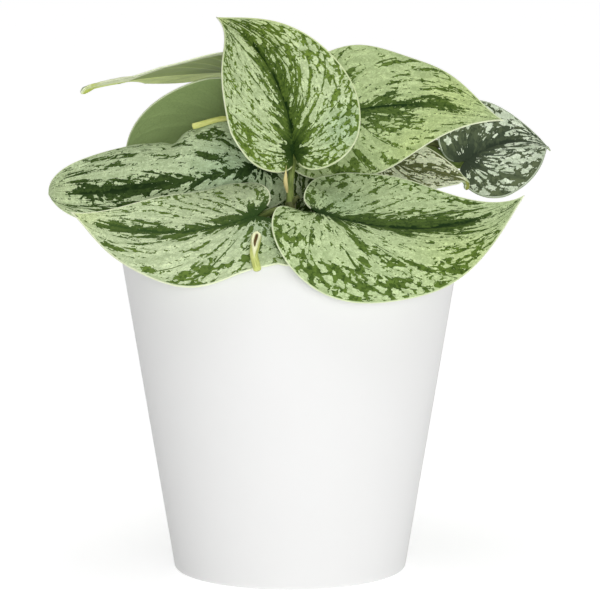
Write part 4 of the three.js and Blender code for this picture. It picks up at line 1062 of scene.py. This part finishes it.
def vine_piece(name, vine, materials):
    """A vine with a knot at each of its path's points, its stalks and its sheaths."""
    knots = len(vine["path"]) - 1

    def vine_radius(share, angles):
        return VINE_RADIUS * (0.86 + 0.16 * abs(math.cos(math.pi * knots * share)) ** 12)

    parts = [(*tube(vine["path"], vine_radius, VINE_GRID, (0.3, 0.9, 0.1)), 0)]
    for leaf_name, points in vine["stalks"].items():
        parts.append((*tube(stalk_way(points, LEAVES[leaf_name]), stalk_radius, STALK_GRID), 1))
    for points, width, slot in vine.get("sheaths", ()):

        def sheath_radius(share, angles):
            return width * math.sin(math.pi * min(0.97, 0.12 + share))

        parts.append((*tube(points, sheath_radius, SHEATH_GRID, (0.3, 0.9, 0.1)), slot))
    piece = joined(name + "_stems", parts, materials)
    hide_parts(name)
    return piece


def spear_piece(material):
    """A leaf still rolled tight, a little wider at its blunt end."""
    def radius(share, angles):
        return 0.95 + 0.25 * share**2 + 0.07 * np.cos(3 * angles + 4 * share)

    piece = joined("rolled_spear_leaf", [(*tube(SPEAR, radius, SPEAR_GRID), 0)], [material])
    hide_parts("rolled_spear")
    return piece


def mouth_level(share, angles):
    """How far a place lies from the middle of the rolled leaf's mouth: 1 on its edge."""
    sway = 0.12 * np.sin(14 * share)
    return np.hypot((angles - math.pi + sway) / (0.66 - 0.6 * share), (share - 0.27) / 0.22)


def rolled_piece(material):
    """A small rolled leaf with an open mouth between thick lips."""
    def radius(share, angles):
        level = mouth_level(share, angles)
        open_part = 1 - 1 / (1 + np.exp((level - 0.85) / 0.08)) * 0.75
        lips = 0.16 * np.exp(-((level - 1.25) / 0.25) ** 2)
        end = 1 - 0.5 * share + 0.2 * share**4
        head = min(1.0, 0.45 + 5 * share)
        return ROLLED_RADIUS * end * head * (open_part + lips)

    vertices, faces, loops = tube(ROLLED, radius, ROLLED_GRID, (0, -1, 0.5))
    piece = joined("rolled_small_leaf", [(vertices, faces, loops, 0)], [material])
    places = np.array(loops)
    share = places[:, 1] / places[:, 1].max()
    add_uv(piece.data, "Mouth", np.stack([mouth_level(share, places[:, 0]), share], -1))
    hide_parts("rolled_leaf")
    return piece


# ---------- pot and soil ----------

POT_SLOPE = (POT_RIM_RADIUS - POT_FOOT_RADIUS) / POT_HEIGHT
POT_SEGMENTS = 160
SOIL_GRID = (56, 150)
SOIL_DEPTHS = (20, 60, 105)  # rings of the root ball below the soil's top
SOIL_GAP = 0.6
SOIL_SETTLE = 0.3
CRUMBS = 520


def pot_radius(z):
    return POT_FOOT_RADIUS + POT_SLOPE * z


def lathe(name, profile, segments, materials):
    """A closed solid of revolution from (radius, height) points; the first and last lie on the axis."""
    vertices, faces = [], []
    angles = np.arange(segments) * 2 * math.pi / segments
    inner = profile[1:-1]
    for radius, height in inner:
        vertices += [(radius * math.cos(a), radius * math.sin(a), height) for a in angles]
    for i in range(len(inner) - 1):
        for k in range(segments):
            n = (k + 1) % segments
            a, b = i * segments + k, i * segments + n
            faces.append((a, b, b + segments, a + segments))
    low, high = len(vertices), len(vertices) + 1
    vertices += [(0, 0, profile[0][1]), (0, 0, profile[-1][1])]
    last = (len(inner) - 1) * segments
    for k in range(segments):
        n = (k + 1) % segments
        faces.append((n, k, low))
        faces.append((last + k, last + n, high))
    return make_object(name, np.array(vertices) * MM, faces, materials)


def arc(cr, cz, radius, start, end, steps):
    angles = np.radians(np.linspace(start, end, steps))
    return [(cr + radius * math.cos(a), cz + radius * math.sin(a)) for a in angles]


def pot_piece(material):
    edge, lip, top = POT_FOOT_EDGE, POT_LIP, POT_HEIGHT - POT_LIP
    profile = [(0, 0), (30, 0), *arc(pot_radius(edge) - edge, edge, edge, -90, -6, 8)]
    profile += [(pot_radius(z), z) for z in np.linspace(8, 120, 15)]
    profile += arc(pot_radius(top) - lip, top, lip, 0, 90, 7)
    profile += arc(pot_radius(top) - POT_WALL + lip, top, lip, 90, 180, 7)
    profile += [(pot_radius(z) - POT_WALL, z) for z in np.linspace(120, POT_FLOOR + 3, 10)]
    profile += [(pot_radius(POT_FLOOR) - POT_WALL - 2, POT_FLOOR), (20, POT_FLOOR), (0, POT_FLOOR)]
    piece = lathe("white_pot", profile, POT_SEGMENTS, [material])
    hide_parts("pot")
    return piece


def ceramic_finish():
    material, tree, shader = finish("white_ceramic", 0.6, 0.08)
    place = put(tree, "ShaderNodeTexCoord").outputs["Object"]
    cloud = noise(tree, place, 18.0, 3.0)
    base = blend(tree, cloud, (0.775, 0.775, 0.77), (0.80, 0.80, 0.795))
    speck = noise(tree, place, 900.0, 1.0)
    base = blend(tree, ramp(tree, speck, 0.74, 0.8, 0.0, 0.08), base, (0.6, 0.59, 0.57))
    tree.links.new(ramp(tree, cloud, 0.3, 0.7, 0.54, 0.64), shader.inputs["Roughness"])
    dress(tree, shader, base, noise(tree, place, 260.0), 0.0001, 0.25)
    return material


def soil_finish():
    material, tree, shader = finish("potting_mix", 0.9)
    place = put(tree, "ShaderNodeTexCoord").outputs["Object"]
    cloud = noise(tree, place, 90.0, 4.0)
    crumb = cells(tree, place, 420.0)
    base = blend(tree, ramp(tree, cloud, 0.3, 0.7), (0.022, 0.014, 0.009), (0.075, 0.046, 0.028))
    bark = ramp(tree, random_values(tree, crumb)[0], 0.8, 0.86, 0.0, 0.6)
    base = blend(tree, bark, base, (0.16, 0.1, 0.06))
    dress(tree, shader, base, crumb["Distance"], 0.001, 0.8)
    return material


def soil_piece(material):
    """Crumbly surface with loose bits of bark on it, over a plain root ball."""
    rng = random.Random(5)
    radius = pot_radius(SOIL_TOP) - POT_WALL - SOIL_GAP
    rings, segments = SOIL_GRID
    turns = [2 * math.pi * k / segments for k in range(segments)]
    waves = [(rng.uniform(0.1, 0.9), rng.uniform(0, 6.28), rng.uniform(0, 6.28)) for _ in range(14)]

    def height(x, y):
        r = math.hypot(x, y)
        rough = sum(math.sin(x * f * math.cos(a) + y * f * math.sin(a) + p) for f, a, p in waves)
        rough = rough * 0.13 * min(1.0, (radius - r) / 6 + 0.3)
        return SOIL_TOP + SOIL_MOUND * (1 - (r / radius) ** 2) + rough - SOIL_SETTLE

    vertices, faces = [(0, 0, height(0, 0))], []
    for i in range(1, rings + 1):
        r = radius * i / rings
        for a in turns:
            x, y = r * math.cos(a), r * math.sin(a)
            vertices.append((x, y, height(x, y)))
    for depth in SOIL_DEPTHS:
        r = pot_radius(SOIL_TOP - depth) - POT_WALL - SOIL_GAP
        vertices += [(r * math.cos(a), r * math.sin(a), SOIL_TOP - depth) for a in turns]
    bottom = len(vertices)
    vertices.append((0, 0, SOIL_TOP - SOIL_DEPTHS[-1]))
    total = rings + len(SOIL_DEPTHS)
    last = 1 + (total - 1) * segments
    for k in range(segments):
        n = (k + 1) % segments
        faces.append([0, 1 + k, 1 + n])
        for i in range(total - 1):
            a, b = 1 + i * segments + k, 1 + i * segments + n
            faces.append([a, a + segments, b + segments, b])
        faces.append([last + k, bottom, last + n])
    parts = [(np.array(vertices), faces)]
    for _ in range(CRUMBS):
        r, a = radius * math.sqrt(rng.random()) * 0.97, rng.uniform(0, 6.28)
        x, y = r * math.cos(a), r * math.sin(a)
        size = rng.uniform(0.5, 1.5)
        bit, polygons = crumb_shape(rng, size)
        parts.append((bit + (x, y, height(x, y) + size * 0.3), polygons))
    vertices, faces = merged(parts)
    piece = make_object("potting_mix", vertices * MM, faces, [material], smooth=False)
    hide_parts("potting_soil")
    return piece


def crumb_shape(rng, size):
    """A small uneven lump: a cube's corners, edges and faces pushed in and out, then wrapped."""
    corners = [Vector(c).normalized() for c in itertools.product((-1, 0, 1), repeat=3) if any(c)]
    stretch_by = Vector((rng.uniform(0.7, 1.7), rng.uniform(0.6, 1.1), rng.uniform(0.4, 0.8))) * size
    turn = Matrix.Rotation(rng.uniform(0, 6.28), 3, "Z")
    turn = turn @ Matrix.Rotation(rng.uniform(-0.6, 0.6), 3, "X")
    shell = bmesh.new()
    for corner in corners:
        bump = rng.uniform(0.75, 1.1)
        shell.verts.new(turn @ Vector([corner[k] * stretch_by[k] * bump for k in range(3)]))
    bmesh.ops.convex_hull(shell, input=shell.verts)
    loose = [v for v in shell.verts if not v.link_faces]
    bmesh.ops.delete(shell, geom=loose, context="VERTS")
    shell.verts.index_update()
    vertices = np.array([v.co for v in shell.verts])
    faces = [[v.index for v in face.verts] for face in shell.faces]
    shell.free()
    return vertices, faces


# ---------- the object ----------

def build_plant():
    markings = satin_markings()
    # The pale rim finish paints the sheen of the curled leaf edges.
    pale = tissue_finish("painted_sheen_margin", (0.84, 0.90, 0.66), (0.72, 0.79, 0.52))
    rims = {"leaf_far_right": tissue_finish("grey_margin", (0.42, 0.48, 0.34), (0.24, 0.30, 0.18))}
    plain = underside_finish("leaf_underside", (0.27, 0.36, 0.14), (0.19, 0.27, 0.09))
    undersides = {
        # The top left blade's underside faces down, so its pale and dark are raised far above the plain
        # underside's as painted light. Its left half is kept dark.
        "leaf_top_left": underside_finish(
            "top_left_underside_painted_light", (0.74, 0.84, 0.32), (0.52, 0.62, 0.22), near=(0.21, 0.28, 0.10),
            strip=(0.70, 0.74, 0.52), tip=(0.52, 0.60, 0.14), length=LEAVES["leaf_top_left"]["length"]),
        "leaf_back_left": underside_finish(
            "back_left_underside", (0.31, 0.42, 0.165), (0.19, 0.27, 0.09))}
    stems = [tissue_finish("vine_skin", (0.16, 0.18, 0.055), (0.06, 0.075, 0.025)),
             tissue_finish("stalk_skin", (0.27, 0.34, 0.09), (0.10, 0.15, 0.035)),
             tissue_finish("dry_sheath", (0.88, 0.79, 0.40), (0.56, 0.45, 0.14))]
    pieces = []
    for number, (name, leaf) in enumerate(LEAVES.items()):
        look = FINISHES.get(name, dict(PLAIN_FINISH, seed=70 + number))
        upper = blade_finish(name + "_face", markings, look)
        piece = leaf_piece(name, leaf, look, [upper, undersides.get(name, plain), rims.get(name, pale)])
        pieces.append(piece)
    for name, vine in VINES.items():
        piece = vine_piece(name, vine, stems)
        pieces.append(piece)
    young = tissue_finish("spear_skin", (0.86, 0.86, 0.33), (0.56, 0.62, 0.14))
    for piece in (spear_piece(young), rolled_piece(rolled_finish())):
        pieces.append(piece)
    pot = pot_piece(ceramic_finish())
    soil = soil_piece(soil_finish())
    for piece in (*pieces, pot, soil):
        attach(piece, "root")


# ---------- studio, in metres ----------

FLOOR_REACH = 60.0
FLOOR_GLOW = 0.49
ROOM_LIGHT = 0.06
SUN_STRENGTH = 1.9
SUN_SPREAD = 80  # degrees
# Each softbox has a place, a point that it faces, its size and its power.
SOFTBOXES = {
    "front": ((0.5, -2.2, 0.36), (0, 0, 0.12), (1.0, 0.6), 15.9),
    "fill": ((0, -1.4, 0.29), (0, 0, 0.13), (0.3, 0.2), 2.8),
    "right": ((2.2, 0.3, 0.5), (0, 0, 0.12), (1.2, 1.0), 4)}
CAMERA_PLACE = (0.00396, -1.15, 0.2445)
CAMERA_DOWN = 6.813  # degrees
CAMERA_LENS = 175.43


def lamp(kind, name, place, target, strength):
    light = bpy.data.lights.new(name, kind)
    light.energy = strength
    holder = bpy.data.objects.new(name, light)
    bpy.context.scene.collection.objects.link(holder)
    holder.location = place
    holder.rotation_euler = (Vector(target) - Vector(place)).to_track_quat("-Z", "Y").to_euler()
    return light


def build_studio():
    floor_material, _, shader = finish("studio_floor", 0.8, 0.1)
    shader.inputs["Base Color"].default_value = (0.8, 0.8, 0.8, 1)
    shader.inputs["Emission Color"].default_value = (1, 1, 1, 1)
    shader.inputs["Emission Strength"].default_value = FLOOR_GLOW
    corners = [(x * FLOOR_REACH, y * FLOOR_REACH, 0) for x, y in ((-1, -1), (1, -1), (1, 1), (-1, 1))]
    floor = make_object("studio_floor", corners, [(0, 1, 2, 3)], [floor_material], smooth=False)
    world = bpy.data.worlds.new("studio")
    bpy.context.scene.world = world
    world.use_nodes = True
    background = world.node_tree.nodes["Background"]
    background.inputs[0].default_value = (1.0, 1.0, 1.0, 1)
    background.inputs[1].default_value = ROOM_LIGHT

    sun = lamp("SUN", "overhead", (0, 0, 3), (0, 0, 0), SUN_STRENGTH)
    sun.angle = math.radians(SUN_SPREAD)
    for name, (place, target, size, power) in SOFTBOXES.items():
        light = lamp("AREA", name, place, target, power)
        light.shape = "RECTANGLE"
        light.size, light.size_y = size

    camera = bpy.data.objects.new("camera", bpy.data.cameras.new("camera"))
    bpy.context.scene.collection.objects.link(camera)
    camera.location = CAMERA_PLACE
    camera.rotation_euler = (math.radians(90 - CAMERA_DOWN), 0, 0)
    camera.data.sensor_width = 36
    camera.data.lens = CAMERA_LENS
    camera.data.clip_start = 0.05
    bpy.context.scene.camera = camera
    bpy.context.scene.view_settings.view_transform = "Standard"


build_studio()
build_plant()
